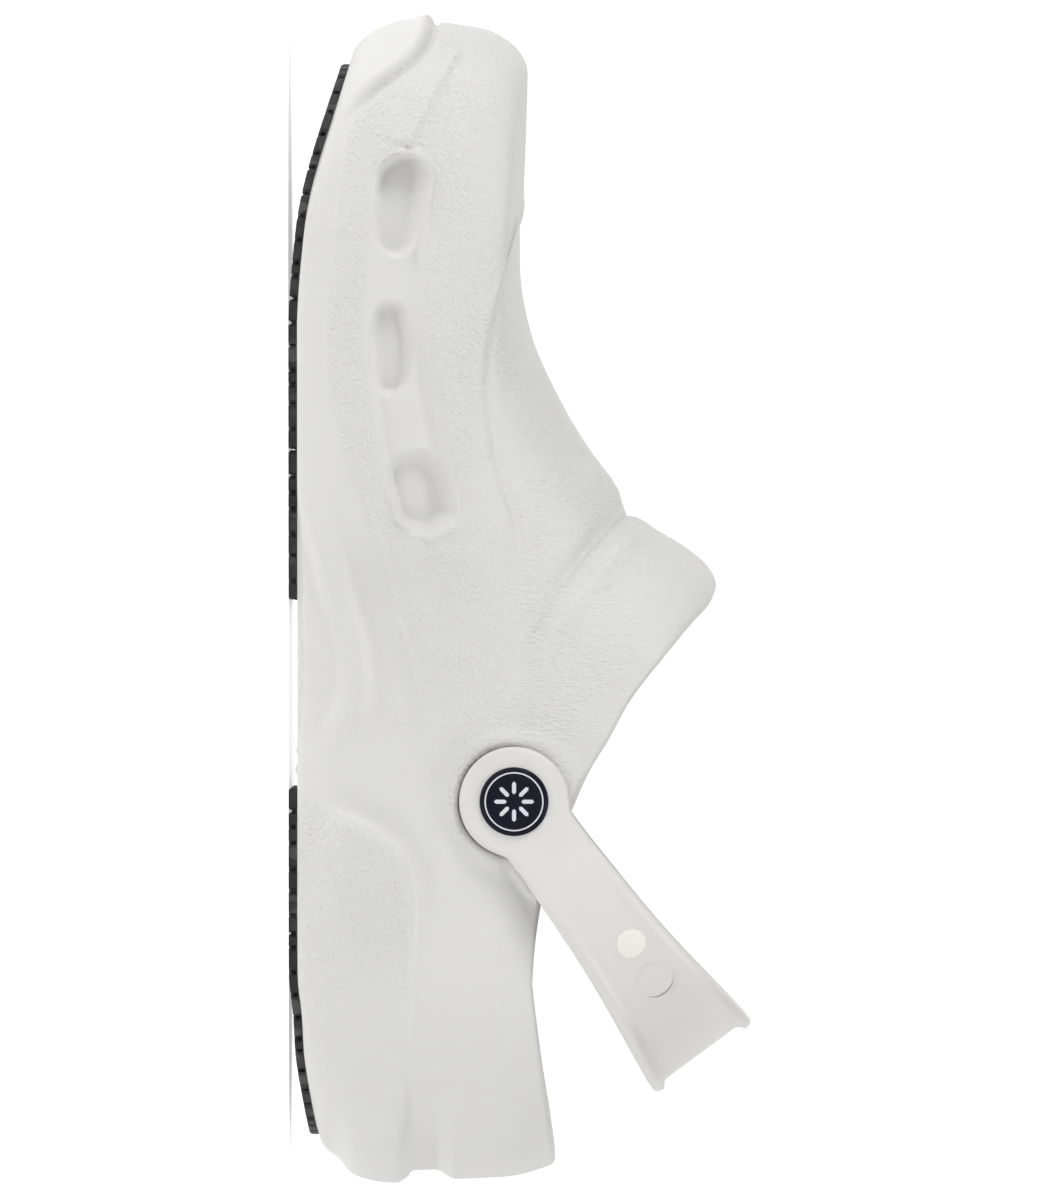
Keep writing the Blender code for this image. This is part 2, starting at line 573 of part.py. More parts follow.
def make_pod(name, stations, rubber):
    """Plate in its pocket with a grid of lugs, split by two lengthwise grooves."""
    inner, outer = pod_half_widths(stations)
    half_groove = GROOVE_WIDTH / 2
    builder = bmesh.new()
    lower, upper = [], []
    for y, x_in, x_out in zip(stations, inner, outer):
        width = x_in - x_out
        columns = [x_out, x_out + width / 3 - half_groove, x_out + width / 3 + half_groove,
                   x_in - width / 3 - half_groove, x_in - width / 3 + half_groove, x_in]
        base = float(underside(y / LENGTH + 0.5))
        lower.append([builder.verts.new((x, y, base)) for x in columns])
        upper.append([builder.verts.new((x, y, base + POD_THICKNESS)) for x in columns])
    lugs = []
    for row in range(len(stations) - 1):
        for column in range(5):
            under = builder.faces.new((lower[row][column], lower[row + 1][column],
                                       lower[row + 1][column + 1], lower[row][column + 1]))
            builder.faces.new((upper[row][column], upper[row][column + 1],
                               upper[row + 1][column + 1], upper[row + 1][column]))
            if row % 2 == 0 and column % 2 == 0:
                lugs.append(under)
        for column, order in ((0, 1), (5, -1)):
            wall = (lower[row][column], upper[row][column], upper[row + 1][column], lower[row + 1][column])
            builder.faces.new(wall[::order])
    for row, order in ((0, 1), (len(stations) - 1, -1)):
        for column in range(5):
            wall = (lower[row][column], lower[row][column + 1], upper[row][column + 1], upper[row][column])
            builder.faces.new(wall[::order])
    extruded = bmesh.ops.extrude_discrete_faces(builder, faces=lugs)
    for face in extruded["faces"]:
        for vertex in face.verts:
            vertex.co.z -= TREAD_DEPTH
    bmesh.ops.recalc_face_normals(builder, faces=builder.faces)
    mesh = bpy.data.meshes.new(name)
    builder.to_mesh(mesh)
    builder.free()
    return add(name, mesh, rubber)


def strap_stations():
    """Half of the strap's run as (distance from the pivot, X of its middle, half-width, thickness).

    Distance is measured in the strap's tilted plane. The boss is a circle about the pivot; behind it the run is
    straight, flush with the boss's outer face, and then follows a squared oval round the heel.
    """
    boss_x = STRAP_SEAT + CLEARANCE + BOSS_THICKNESS / 2
    band_x = STRAP_SEAT + CLEARANCE + BOSS_THICKNESS - STRAP_THICKNESS / 2
    rows = []
    for turn in (172, 156, 138, 118, 96, 74, 56):
        turn = math.radians(turn)
        rows.append((BOSS_RADIUS * math.cos(turn), boss_x, BOSS_RADIUS * math.sin(turn), BOSS_THICKNESS))
    neck = BOSS_RADIUS * 1.05
    rows.append((neck, (boss_x + band_x) / 2, STRAP_NECK / 2 * 1.02, (BOSS_THICKNESS + STRAP_THICKNESS) / 2))
    straight = BOSS_RADIUS + STRAP_STRAIGHT
    power = 2 / 2.25
    for turn in np.radians((0, 12, 22, 32, 42, 52, 62, 71, 80, 90)):
        reach = straight + (STRAP_REACH - straight) * math.sin(turn) ** power
        x = band_x * max(math.cos(turn), 0.0) ** power
        way = (reach - straight) / (STRAP_REACH - straight)
        half = float(fair((0.0, 0.5, 1.0), (STRAP_NECK / 2, STRAP_MIDDLE / 2, STRAP_BACK / 2), way))
        rows.append((reach, x, half, STRAP_THICKNESS))
    return rows


def strap_mesh(name):
    """Flat band, its edges bevelled, carried round the tilted plane through the pivot axis."""
    half = strap_stations()
    path = half + [(reach, -x, width, thick) for reach, x, width, thick in half[-2::-1]]
    back = np.array((0.0, math.cos(STRAP_TILT), math.sin(STRAP_TILT)))
    up = np.array((0.0, -math.sin(STRAP_TILT), math.cos(STRAP_TILT)))
    pivot = np.array((0.0, PIVOT_ALONG - HALF_LENGTH, PIVOT_HEIGHT))
    centres = np.array([(x, reach) for reach, x, _, _ in path])
    heading = np.gradient(centres, axis=0)
    heading /= np.linalg.norm(heading, axis=1, keepdims=True)
    rings = []
    for (reach, x, width, thick), (head_x, head_back) in zip(path, heading):
        if reach <= BOSS_RADIUS * 1.05:
            head_x, head_back = 0.0, math.copysign(1.0, x)
        out = np.array((head_back, 0.0, 0.0)) - back * head_x
        middle = pivot + np.array((x, 0.0, 0.0)) + back * reach
        edge = min(STRAP_EDGE, width * 0.4)
        ring = []
        for across_share, up_share in ((1, 1), (-1, 1), (-1, -1), (1, -1)):
            near = (across_share * thick / 2, up_share * (width - edge))
            far = (across_share * (thick / 2 - edge), up_share * width)
            pair = (near, far) if across_share == up_share else (far, near)
            ring += [middle + out * a + up * b for a, b in pair]
        rings.append(ring)
    return ring_mesh(name, rings, np.mean(rings[0], axis=0), np.mean(rings[-1], axis=0))


def make_strap(foam):
    strap = add("heel_strap", strap_mesh("heel_strap"), foam)
    for side, word in ((1, "inner"), (-1, "outer")):
        well = BUTTON_RADIUS + CLEARANCE
        shaft = RIVET_RADIUS + CLEARANCE
        floor = head_floor() - CLEARANCE
        profile = ((BALL_WIDTH, well), (floor, well), (floor, shaft), (STRAP_SEAT / 2, shaft))
        cut(strap, turned(f"cut_boss_{word}", profile, side))
    return strap


def head_floor():
    """Underside of the rivet's head, in the well of the boss."""
    return STRAP_SEAT + CLEARANCE + BOSS_THICKNESS / 2


def wall_inside(body_mesh, side):
    """X of the body's inner wall round the rivet, taken where it reaches furthest in."""
    tree = surface_tree(body_mesh)
    reaches = []
    for index in range(ROUND_SEGMENTS):
        turn = 2 * math.pi * index / ROUND_SEGMENTS
        start = Vector((0.0, PIVOT_ALONG - HALF_LENGTH + RIVET_FLANGE_RADIUS * math.cos(turn),
                        PIVOT_HEIGHT + RIVET_FLANGE_RADIUS * math.sin(turn)))
        reaches.append(abs(tree.ray_cast(start, Vector((side, 0, 0)))[0].x))
    return min(reaches)


def make_rivet(word, side, body_mesh, plastic):
    """Shaft with a head in the boss and a flange inside the body's wall."""
    flange = wall_inside(body_mesh, side) - CLEARANCE
    head = head_floor()
    profile = ((head + RIVET_HEAD_THICKNESS, RIVET_HEAD_RADIUS), (head, RIVET_HEAD_RADIUS), (head, RIVET_RADIUS),
               (flange, RIVET_RADIUS), (flange, RIVET_FLANGE_RADIUS),
               (flange - RIVET_FLANGE_THICKNESS, RIVET_FLANGE_RADIUS))
    return turned(f"rivet_{word}", profile, side, plastic)


def make_button(word, side, plastic):
    """Cap that closes the boss over the rivet's head."""
    floor = head_floor() + RIVET_HEAD_THICKNESS + CLEARANCE
    top = floor + BUTTON_THICKNESS
    profile = ((top, BUTTON_RADIUS - BUTTON_BEVEL), (top - BUTTON_BEVEL, BUTTON_RADIUS), (floor, BUTTON_RADIUS))
    return turned(f"button_{word}", profile, side, plastic)


for old in list(bpy.data.objects):
    bpy.data.objects.remove(old, do_unlink=True)

white_foam = material("white_foam", (0.84, 0.84, 0.83), 0.55)
strap_foam = material("strap_foam", (0.84, 0.83, 0.80), 0.5)
tread_rubber = material("tread_rubber", (0.02, 0.02, 0.022), 0.7)
rivet_plastic = material("rivet_plastic", (0.80, 0.80, 0.78), 0.4)
button_plastic = material("button_plastic", (0.012, 0.014, 0.022), 0.25)

clog_body = make_body(white_foam)
for pod_name, pod_rows in pod_stations().items():
    make_pod(pod_name, pod_rows, tread_rubber)
make_strap(strap_foam)
for side_sign, side_word in ((1, "inner"), (-1, "outer")):
    make_rivet(side_word, side_sign, clog_body.data, rivet_plastic)
    make_button(side_word, side_sign, button_plastic)
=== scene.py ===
import math

import bpy
import numpy as np
from mathutils import Matrix, Vector


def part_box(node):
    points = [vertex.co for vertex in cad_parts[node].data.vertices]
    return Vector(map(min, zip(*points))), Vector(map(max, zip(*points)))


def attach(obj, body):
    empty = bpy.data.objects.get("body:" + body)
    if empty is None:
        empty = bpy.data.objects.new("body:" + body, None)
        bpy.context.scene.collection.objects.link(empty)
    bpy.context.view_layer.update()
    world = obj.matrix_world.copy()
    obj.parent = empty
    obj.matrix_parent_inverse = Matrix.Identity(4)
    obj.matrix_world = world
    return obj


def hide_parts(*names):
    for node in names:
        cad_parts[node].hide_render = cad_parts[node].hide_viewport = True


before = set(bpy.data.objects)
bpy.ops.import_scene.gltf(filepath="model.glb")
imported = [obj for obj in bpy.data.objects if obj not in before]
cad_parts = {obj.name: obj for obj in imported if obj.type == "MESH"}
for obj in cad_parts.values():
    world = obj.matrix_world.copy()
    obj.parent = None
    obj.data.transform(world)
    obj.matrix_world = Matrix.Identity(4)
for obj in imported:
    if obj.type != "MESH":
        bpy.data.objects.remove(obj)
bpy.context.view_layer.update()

# Clog body. The upper, midsole and footbed of the real shoe are one shell of white closed-cell foam, shot into
# a mould: smooth at the toe bumper, in the side recess and on the rim, with a pressed leather grain elsewhere.
# It is made here as rings round the foot, and the low forms of the mould are moves along the surface's normal.
LENGTH = 0.290
BALL_WIDTH = 0.1158
TOE_HEIGHT = 0.0593
INSTEP_HEIGHT = 0.0842
COLLAR_HEIGHT = 0.1063
SIDE_HEIGHT = 0.0602
HEEL_HEIGHT = 0.0658
WALL = 0.0048
HEEL_WALL = 0.0090
RIM_ROUND = 0.4
RIM_LIFT = 0.0011
TOE_SPRING = 0.0133
HEEL_SPRING = 0.0052
TREAD_DEPTH = 0.0022
TOE_ROUND = 0.0140
SIDE_ROUND = 0.0100
COLLAR_SIDE_ROUND = 0.0030
SOLE_EDGE_ROUND = 0.0052
SOLE_END_ROUND = 0.0095
NOSE_HEIGHT = 0.0340
FLANK_HEIGHT = 0.0262
FOOTBED_THICKNESS = 0.0160
FOOTBED_TOE_THICKNESS = 0.0100
FOOTBED_HEEL_THICKNESS = 0.0225
FOOTBED_FILLET = 0.0035
FOOTBED_SEAM = 0.0004
SHOULDER_RUN = 0.32
HEEL_GROOVE_HEIGHT = 0.0338
HEEL_GROOVE_WIDTH = 0.0148
HEEL_GROOVE_DEPTH = 0.0025
HALF_BALL = BALL_WIDTH / 2
HALF_LENGTH = LENGTH / 2
FOAM_TONES = ((0.632, 0.628, 0.609, 1.0), (0.658, 0.654, 0.636, 1.0))
# Footbed tones: the body's own white foam, painted darker and warmer as painted shade and warm bounce light
# inside the shoe.
FOOTBED_SHADE_TONES = ((0.50, 0.45, 0.41, 1.0), (0.56, 0.51, 0.465, 1.0))

# Outline from above: along is a share of the length, inner and outer are shares of half the ball width.
PLAN_ALONG = (0.0, 0.0083, 0.0217, 0.0417, 0.0752, 0.1252, 0.1862, 0.2503, 0.3007, 0.3755, 0.4507,
              0.5010, 0.5510, 0.6262, 0.7514, 0.8448, 0.8924, 0.9317, 0.9676, 0.9869, 0.9969, 1.0)
PLAN_INNER = (0.330, 0.610, 0.744, 0.857, 0.936, 0.985, 1.000, 0.988, 0.971, 0.945, 0.906,
              0.869, 0.857, 0.848, 0.845, 0.791, 0.727, 0.644, 0.489, 0.345, 0.190, 0.033)
PLAN_OUTER = (-0.330, -0.017, 0.155, 0.328, 0.535, 0.748, 0.902, 0.974, 1.000, 0.995, 0.943,
              0.898, 0.860, 0.834, 0.836, 0.786, 0.708, 0.622, 0.439, 0.301, 0.162, -0.033)

# Sections along the foot: ridge as a share of the rise from toe to instep, shoulders as shares of toe height.
SECTION_ALONG = (0.0, 0.05, 0.10, 0.165, 0.235, 0.286, 0.315, 0.345, 0.374, 0.403, 0.4276, 0.52, 1.0)
SECTION_RIDGE = (0.0, 0.0, -0.02, -0.065, -0.055, 0.095, 0.25, 0.434, 0.65, 0.895, 1.0, 1.0, 1.0)
SHOULDER_INNER = (0.97, 0.965, 0.945, 0.925, 0.89, 0.875, 0.87, 0.885, 0.91, 0.95, 0.98, 1.02, 1.02)
SHOULDER_OUTER = (0.95, 0.93, 0.90, 0.87, 0.84, 0.825, 0.825, 0.84, 0.87, 0.92, 0.96, 1.01, 1.02)
SECTION_RIDGE_SIDE = (0.330, 0.25, 0.15, 0.06, 0.02, 0.02, 0.03, 0.06, 0.09, 0.13, 0.16, 0.16, 0.10)
SHOULDER_PLACE = 0.82

# Underside: lift at the toe and the heel, as shares of toe spring and heel spring.
SOLE_ALONG = (0.0, 0.035, 0.083, 0.109, 0.167, 0.209, 0.265, 0.30)
SOLE_TOE_LIFT = (1.12, 1.0, 0.69, 0.51, 0.19, 0.08, 0.0, 0.0)
HEEL_ALONG = (0.80, 0.83, 0.852, 0.893, 0.9265, 0.964, 1.0)
HEEL_LIFT = (0.0, 0.04, 0.19, 0.33, 0.62, 1.0, 1.4)

# Foot and rim of the collar, at stations of the outline.
COLLAR_STATION = (0.0, 0.1, 0.2, 0.3, 0.4, 0.5, 0.6, 0.7, 0.8, 0.9, 0.97, 1.0)
FOOT_ALONG_INNER = (0.4276, 0.4305, 0.4415, 0.4625, 0.491, 0.524, 0.597, 0.697, 0.797, 0.8945, 0.969, 0.9968)
FOOT_INNER = (0.187, 0.355, 0.510, 0.640, 0.732, 0.777, 0.797, 0.803, 0.795, 0.677, 0.415, 0.033)
FOOT_ALONG_OUTER = (0.4276, 0.4328, 0.450, 0.478, 0.510, 0.541, 0.603, 0.699, 0.797, 0.8945, 0.969, 0.9968)
FOOT_OUTER = (-0.187, 0.030, 0.225, 0.412, 0.575, 0.684, 0.755, 0.790, 0.790, 0.668, 0.375, -0.033)
FOOT_SIDE = (1.0, 0.999, 0.995, 0.991, 0.986, 0.980, 0.968, 0.934, 0.902, 0.909, 0.934, 0.944)
FOOT_RISE = (1.0, 0.95, 0.82, 0.62, 0.35, 0.12, 0.0, 0.0, 0.0, 0.0, 0.0, 0.0)
RIM_ALONG_INNER = (0.4885, 0.4925, 0.504, 0.522, 0.547, 0.583, 0.634, 0.708, 0.799, 0.892, 0.961, 0.987)
RIM_INNER = (0.155, 0.300, 0.430, 0.545, 0.640, 0.700, 0.738, 0.762, 0.755, 0.636, 0.380, 0.033)
RIM_ALONG_OUTER = (0.4885, 0.492, 0.503, 0.5245, 0.555, 0.593, 0.641, 0.709, 0.799, 0.892, 0.961, 0.987)
RIM_OUTER = (-0.155, -0.010, 0.150, 0.305, 0.445, 0.560, 0.660, 0.735, 0.745, 0.627, 0.348, -0.033)
RIM_ALONG = (0.4885, 0.500, 0.515, 0.547, 0.579, 0.6165, 0.643, 0.675, 0.715, 0.76, 0.80, 0.831)
RIM_FRONT = (1.0, 0.965, 0.88, 0.711, 0.545, 0.405, 0.305, 0.215, 0.11, 0.045, 0.012, 0.0)
RIM_REAR_ALONG = (0.831, 0.864, 0.908, 0.953, 0.982, 1.0)
RIM_REAR = (0.0, 0.18, 0.46, 0.82, 1.0, 1.0)

# Side recess: along is a share of the length, heights are shares of the toe height.
CHANNEL_NOSE = 0.020
CHANNEL_ALONG = (0.1225, 0.1360, 0.167, 0.195, 0.267, 0.3155, 0.358, 0.3955, 0.419, 0.436, 0.4405)
CHANNEL_LOW = (0.420, 0.380, 0.366, 0.366, 0.339, 0.362, 0.388, 0.428, 0.464, 0.514, 0.585)
CHANNEL_HIGH = (0.585, 0.590, 0.576, 0.562, 0.550, 0.580, 0.619, 0.671, 0.685, 0.650, 0.593)
CHANNEL_DEPTH = 0.0017
CHANNEL_LIP = 0.0009
POCKET_DEPTH = 0.0044
POCKETS = (
    {"along": 0.1635, "height": 0.462, "length": 0.086, "tall": 0.206, "tilt": -5.0, "power": 2.7,
     "front": 0.0},
    {"along": 0.2860, "height": 0.430, "length": 0.079, "tall": 0.185, "tilt": 3.0, "power": 2.7,
     "front": 0.0010},
    {"along": 0.4080, "height": 0.548, "length": 0.070, "tall": 0.226, "tilt": 17.0, "power": 3.0,
     "front": 0.0025},
)

# Low forms of the mould as lines seen from the side: millimetres behind the toe tip and above the floor.
BUMPER_GROOVE = ((0.0, 36.6), (1.2, 36.3), (6.2, 34.7), (10.0, 32.2), (13.3, 28.4), (16.3, 24.3), (20.0, 20.1),
                 (22.9, 17.2), (25.5, 15.2), (29.2, 14.2), (38.0, 13.2), (55.9, 10.7), (76.7, 9.3), (90.5, 9.9),
                 (108.7, 14.0), (122.5, 18.4), (134.9, 22.5), (149.2, 25.6), (162.8, 30.1), (174.9, 33.1))
PARTING_LINE = ((7.0, 43.5), (13.0, 40.0), (18.8, 36.8), (23.3, 34.7), (29.2, 31.8), (33.4, 29.9))
VAMP_SIDE = ((40.0, 61.0), (49.6, 57.1), (60.5, 52.3), (68.3, 51.3), (80.0, 49.2), (93.0, 48.3), (110.8, 50.6),
             (126.3, 55.3), (137.9, 56.8), (150.0, 57.5))
ARCH_RIDGE = ((112.0, 4.0), (122.0, 7.2), (132.0, 10.2), (140.1, 12.2), (150.7, 15.4), (160.0, 17.4),
              (166.0, 17.6), (172.0, 16.2), (178.0, 13.6), (188.5, 10.0))
ARCH_EDGE = ((100.0, 11.5), (108.7, 14.0), (122.5, 18.4), (134.9, 22.5), (149.2, 25.6), (162.8, 30.1),
             (174.9, 33.1), (186.0, 35.5))
HEEL_SWOOP = ((193.0, 3.0), (197.5, 12.0), (201.5, 20.4), (208.0, 28.0), (216.9, 31.0), (227.0, 31.2),
              (250.0, 30.4), (290.0, 29.6))

# The edge between toe cap and vamp, seen from above: millimetres to the inner side and behind the toe tip.
VAMP_TOP = ((-60.0, 120.0), (-50.0, 93.0), (-46.7, 84.5), (-43.8, 78.0), (-40.9, 70.7), (-37.0, 65.1),
            (-31.2, 59.6), (-24.2, 54.0), (-16.9, 49.9), (-9.7, 46.7), (-1.5, 44.5), (9.0, 43.8), (18.6, 44.5),
            (26.6, 46.2), (32.9, 48.7), (38.7, 52.3), (42.6, 55.4), (46.0, 59.6), (49.9, 69.2), (53.0, 84.0),
            (60.0, 120.0))
VAMP_STEP = 0.0006
COLLAR_LINE = ((122.0, 90.5), (130.0, 83.2), (137.6, 77.2), (150.4, 67.8), (163.1, 61.6), (179.0, 58.2))

# How far the low forms stand out of the surface, or go into it, in metres.
SIDE_SWELL = 0.0006
BUMPER_TOE_DEPTH = 0.0021
BUMPER_SIDE_DEPTH = 0.0004
BUMPER_WIDTH = 0.0009
BUMPER_RIDGE = 0.0009
BUMPER_SHELF = 0.0009
BUMPER_EDGE = 0.0005
PARTING_RIDGE = 0.0004
PARTING_STEP = 0.0008
ARCH_RIDGE_RISE = 0.0006
ARCH_UNDERCUT = 0.0014
ARCH_HOLLOW = 0.0026
ARCH_EDGE_RISE = 0.0005
SWOOP_RISE = 0.0028
SWOOP_FALL = 0.0022
SWOOP_TROUGH = 0.0007
HEEL_CUT_IN = 0.0017
COLLAR_CREST = 0.0013
COLLAR_TROUGH = 0.0017
SCALLOP_RISE = 0.0006
SCALLOP_PITCH_MM = 5.2
SIDE_TOP_MM = 52.0

# Seat of the strap's boss, and how finely the rings round the foot are set.
PIVOT_ALONG = 0.1949
PIVOT_HEIGHT = 0.0559
STRAP_SEAT = 0.0456
BOSS_RADIUS = 0.0136
SEAT_PAD = 0.0013
SEAT_LEDGE = ((-12.0, -13.0), (-6.0, -15.2), (0.0, -15.9), (5.1, -14.9), (11.8, -9.9), (15.4, -2.9),
              (19.0, 0.4), (22.6, 3.2), (28.0, 8.5))
RING_POINTS = 625
HEEL_SOFTENING = 60
FINE_START = 0.10
FINE_END = 0.49
FINE_WEIGHT = 1.0
HEEL_FINE_WEIGHT = 0.65


def fair(knots, values, at):
    """Cubic curve through the knots; its slope at a knot is that of the parabola through three of them."""
    knots, values, at = np.asarray(knots, float), np.asarray(values, float), np.asarray(at, float)
    run = np.diff(knots)
    rise = np.diff(values) / run
    middle = (rise[:-1] * run[1:] + rise[1:] * run[:-1]) / (run[:-1] + run[1:])
    slope = np.concatenate((rise[:1], middle, rise[-1:]))
    span = np.clip(np.searchsorted(knots, at) - 1, 0, len(run) - 1)
    way = np.clip((at - knots[span]) / run[span], 0.0, 1.0)
    start, end = values[span], values[span + 1]
    leave, arrive = slope[span] * run[span], slope[span + 1] * run[span]
    return (start + way * leave
            + way ** 2 * (3 * (end - start) - 2 * leave - arrive)
            + way ** 3 * (2 * (start - end) + leave + arrive))


def ease(value, low, high):
    """Smooth step, 3w^2 - 2w^3, from 0 at low to 1 at high."""
    way = np.clip((value - low) / (high - low), 0.0, 1.0)
    return way * way * (3 - 2 * way)


def round_loop(stations, inner, outer, angle):
    """Two columns carried round the foot, back along the inner side and forward along the outer side.

    The station of an angle is (1 - cos angle) / 2: the toe tip is at angle 0 and the heel at half a turn.
    """
    turn = np.arccos(1 - 2 * np.asarray(stations, float))
    knots = np.concatenate((turn, 2 * math.pi - turn[-2:0:-1]))
    values = np.concatenate((inner, np.asarray(outer)[-2:0:-1]))
    knots = np.concatenate((knots[-3:] - 2 * math.pi, knots, knots[:3] + 2 * math.pi))
    values = np.concatenate((values[-3:], values, values[:3]))
    return fair(knots, values, np.mod(angle, 2 * math.pi))


def across(stations, inner, outer, angle):
    return HALF_BALL * round_loop(stations, inner, -np.asarray(outer), angle)


def station(angle):
    return (1 - np.cos(angle)) / 2


def outline(angle):
    """Widest outline of the body from above, as X and Y."""
    return across(PLAN_ALONG, PLAN_INNER, PLAN_OUTER, angle), LENGTH * station(angle) - HALF_LENGTH


def outward(angle):
    """Unit vector out of the outline: its tangent, from a small step each way, turned by a quarter."""
    step = 1e-3
    ahead, behind = outline(angle + step), outline(angle - step)
    run, rise = ahead[0] - behind[0], ahead[1] - behind[1]
    size = np.hypot(run, rise)
    return rise / size, -run / size


def underside(along):
    """Height of the foam's underside: tread depth plus toe spring and heel spring."""
    toe = TOE_SPRING * np.maximum(fair(SOLE_ALONG, SOLE_TOE_LIFT, along), 0.0)
    heel = HEEL_SPRING * np.maximum(fair(HEEL_ALONG, HEEL_LIFT, along), 0.0)
    return TREAD_DEPTH + toe + heel


def widest_height(along):
    return FLANK_HEIGHT + (NOSE_HEIGHT - FLANK_HEIGHT) * (1 - ease(along, 0.0, 0.2))


def crown(x, along):
    """Top of the upper over the plan: the ridge less a fall with the cube of the way out to the outline."""
    ridge = TOE_HEIGHT + (INSTEP_HEIGHT - TOE_HEIGHT) * fair(SECTION_ALONG, SECTION_RIDGE, along)
    middle = HALF_BALL * fair(SECTION_ALONG, SECTION_RIDGE_SIDE, along)
    inner_fall = ridge - TOE_HEIGHT * fair(SECTION_ALONG, SHOULDER_INNER, along)
    outer_fall = ridge - TOE_HEIGHT * fair(SECTION_ALONG, SHOULDER_OUTER, along)
    turn = np.arccos(1 - 2 * np.clip(along, 0.0, 1.0))
    inner, outer = outline(turn)[0], outline(2 * math.pi - turn)[0]
    reach = np.where(x > middle, inner - middle, middle - outer)
    out = np.clip(np.abs(x - middle) / np.maximum(reach, TOE_ROUND), 0.0, 1.0)
    return ridge - np.where(x > middle, inner_fall, outer_fall) * (out / SHOULDER_PLACE) ** 3


def front_weight(angle):
    """1 where the flank closes over the foot, 0 where it stands up as the heel's wall."""
    return 1 - ease(station(angle), 0.42, 0.66)


def collar_foot(angle):
    along = round_loop(COLLAR_STATION, FOOT_ALONG_INNER, FOOT_ALONG_OUTER, angle)
    rise = (INSTEP_HEIGHT - SIDE_HEIGHT) * round_loop(COLLAR_STATION, FOOT_RISE, FOOT_RISE, angle)
    height = SIDE_HEIGHT * round_loop(COLLAR_STATION, FOOT_SIDE, FOOT_SIDE, angle) + rise
    return across(COLLAR_STATION, FOOT_INNER, FOOT_OUTER, angle), LENGTH * along - HALF_LENGTH, height


def rim(angle):
    """Where the collar's outer face ends: at full height in front, and below the rounding at the heel."""
    along = round_loop(COLLAR_STATION, RIM_ALONG_INNER, RIM_ALONG_OUTER, angle)
    front = SIDE_HEIGHT + (COLLAR_HEIGHT - SIDE_HEIGHT) * fair(RIM_ALONG, RIM_FRONT, along)
    rear = (HEEL_HEIGHT - SIDE_HEIGHT) * fair(RIM_REAR_ALONG, RIM_REAR, along)
    height = front + rear - (RIM_ROUND * WALL - RIM_LIFT) * (1 - front_weight(angle))
    return across(COLLAR_STATION, RIM_INNER, RIM_OUTER, angle), LENGTH * along - HALF_LENGTH, height


def sole_edge(angle, share):
    """Quarter ellipse from the underside's edge, share 0, up to the widest outline, share 1."""
    x, y = outline(angle)
    out_x, out_y = outward(angle)
    along = station(angle)
    ends = np.maximum(1 - ease(along, 0.0, 0.14), ease(along, 0.86, 1.0))
    inset = SOLE_EDGE_ROUND + (SOLE_END_ROUND - SOLE_EDGE_ROUND) * ends
    turn = share * math.pi / 2
    inward = inset * (1 - np.sin(turn))
    x, y = x - inward * out_x, y - inward * out_y
    low = underside(y / LENGTH + 0.5)
    return np.stack((x, y, low + (widest_height(along) - low) * (1 - np.cos(turn))), -1)


def flank(angle, share, groove_depth=HEEL_GROOVE_DEPTH):
    """From the widest outline, share 0, to the foot of the collar, share 1.

    In front it rounds the shoulder as a quarter circle and then runs over the crown. At the heel it is a wall
    that leans in, with a soft groove round it. A smooth step along the foot blends the two.
    """
    x, y = outline(angle)
    out_x, out_y = outward(angle)
    foot_x, foot_y, foot_z = collar_foot(angle)
    low = widest_height(station(angle))
    weight = front_weight(angle)

    radius = TOE_ROUND + (SIDE_ROUND - TOE_ROUND) * ease(station(angle), 0.0, 0.12)
    radius = radius + (COLLAR_SIDE_ROUND - radius) * ease(station(angle), 0.34, 0.5)
    turn = np.clip(share / SHOULDER_RUN, 0.0, 1.0) * math.pi / 2
    inward = radius * (1 - np.cos(turn))
    onward = np.clip((share - SHOULDER_RUN) / (1 - SHOULDER_RUN), 0.0, 1.0)
    over_x, over_y = x - inward * out_x, y - inward * out_y
    over_x, over_y = over_x + (foot_x - over_x) * onward, over_y + (foot_y - over_y) * onward
    top = crown(over_x, over_y / LENGTH + 0.5)
    last = crown(foot_x, foot_y / LENGTH + 0.5)
    over_z = low + (top - low) * np.sin(turn) + (foot_z - last) * onward ** 2

    lean = share ** 1.5
    wall_x, wall_y, wall_z = x + (foot_x - x) * lean, y + (foot_y - y) * lean, low + (foot_z - low) * share
    band = 1 - ease(np.abs(wall_z - HEEL_GROOVE_HEIGHT), 0.16 * HEEL_GROOVE_WIDTH, 0.5 * HEEL_GROOVE_WIDTH)
    groove = groove_depth * band * ease(station(angle), 0.91, 0.985)
    wall_x, wall_y = wall_x - groove * out_x, wall_y - groove * out_y
    return np.stack((wall_x + (over_x - wall_x) * weight, wall_y + (over_y - wall_y) * weight,
                     wall_z + (over_z - wall_z) * weight), -1)


def collar(angle, share):
    """From the foot of the collar, share 0, to the rim, share 1; its height is a quarter sine in front."""
    foot, top = np.stack(collar_foot(angle), -1), np.stack(rim(angle), -1)
    rise = share + (np.sin(share * math.pi / 2) - share) * front_weight(angle)
    point = foot + (top - foot) * share[..., None]
    point[..., 2] = foot[..., 2] + (top[..., 2] - foot[..., 2]) * rise
    return point


def footbed_height(along):
    """Top of the footbed: underside plus a thickness that grows from toe to ball and from ball to heel."""
    depth = FOOTBED_THICKNESS + (FOOTBED_TOE_THICKNESS - FOOTBED_THICKNESS) * (1 - ease(along, 0.0, 0.22))
    return underside(along) + depth + (FOOTBED_HEEL_THICKNESS - depth) * ease(along, 0.30, 0.70)


def shares(*runs):
    """One column of shares from runs of (start, end, count), each without its end, and the last with it."""
    parts = [np.linspace(start, end, count, endpoint=False) for start, end, count in runs]
    return np.append(np.concatenate(parts), runs[-1][1])[:, None]


def grid_normals(points):
    """Unit normals of rows of closed rings: along the ring crossed with up the wall."""
    along_ring = np.roll(points, -1, axis=1) - np.roll(points, 1, axis=1)
    normal = np.cross(along_ring, np.gradient(points, axis=0))
    return normal / np.maximum(np.linalg.norm(normal, axis=2, keepdims=True), 1e-12)


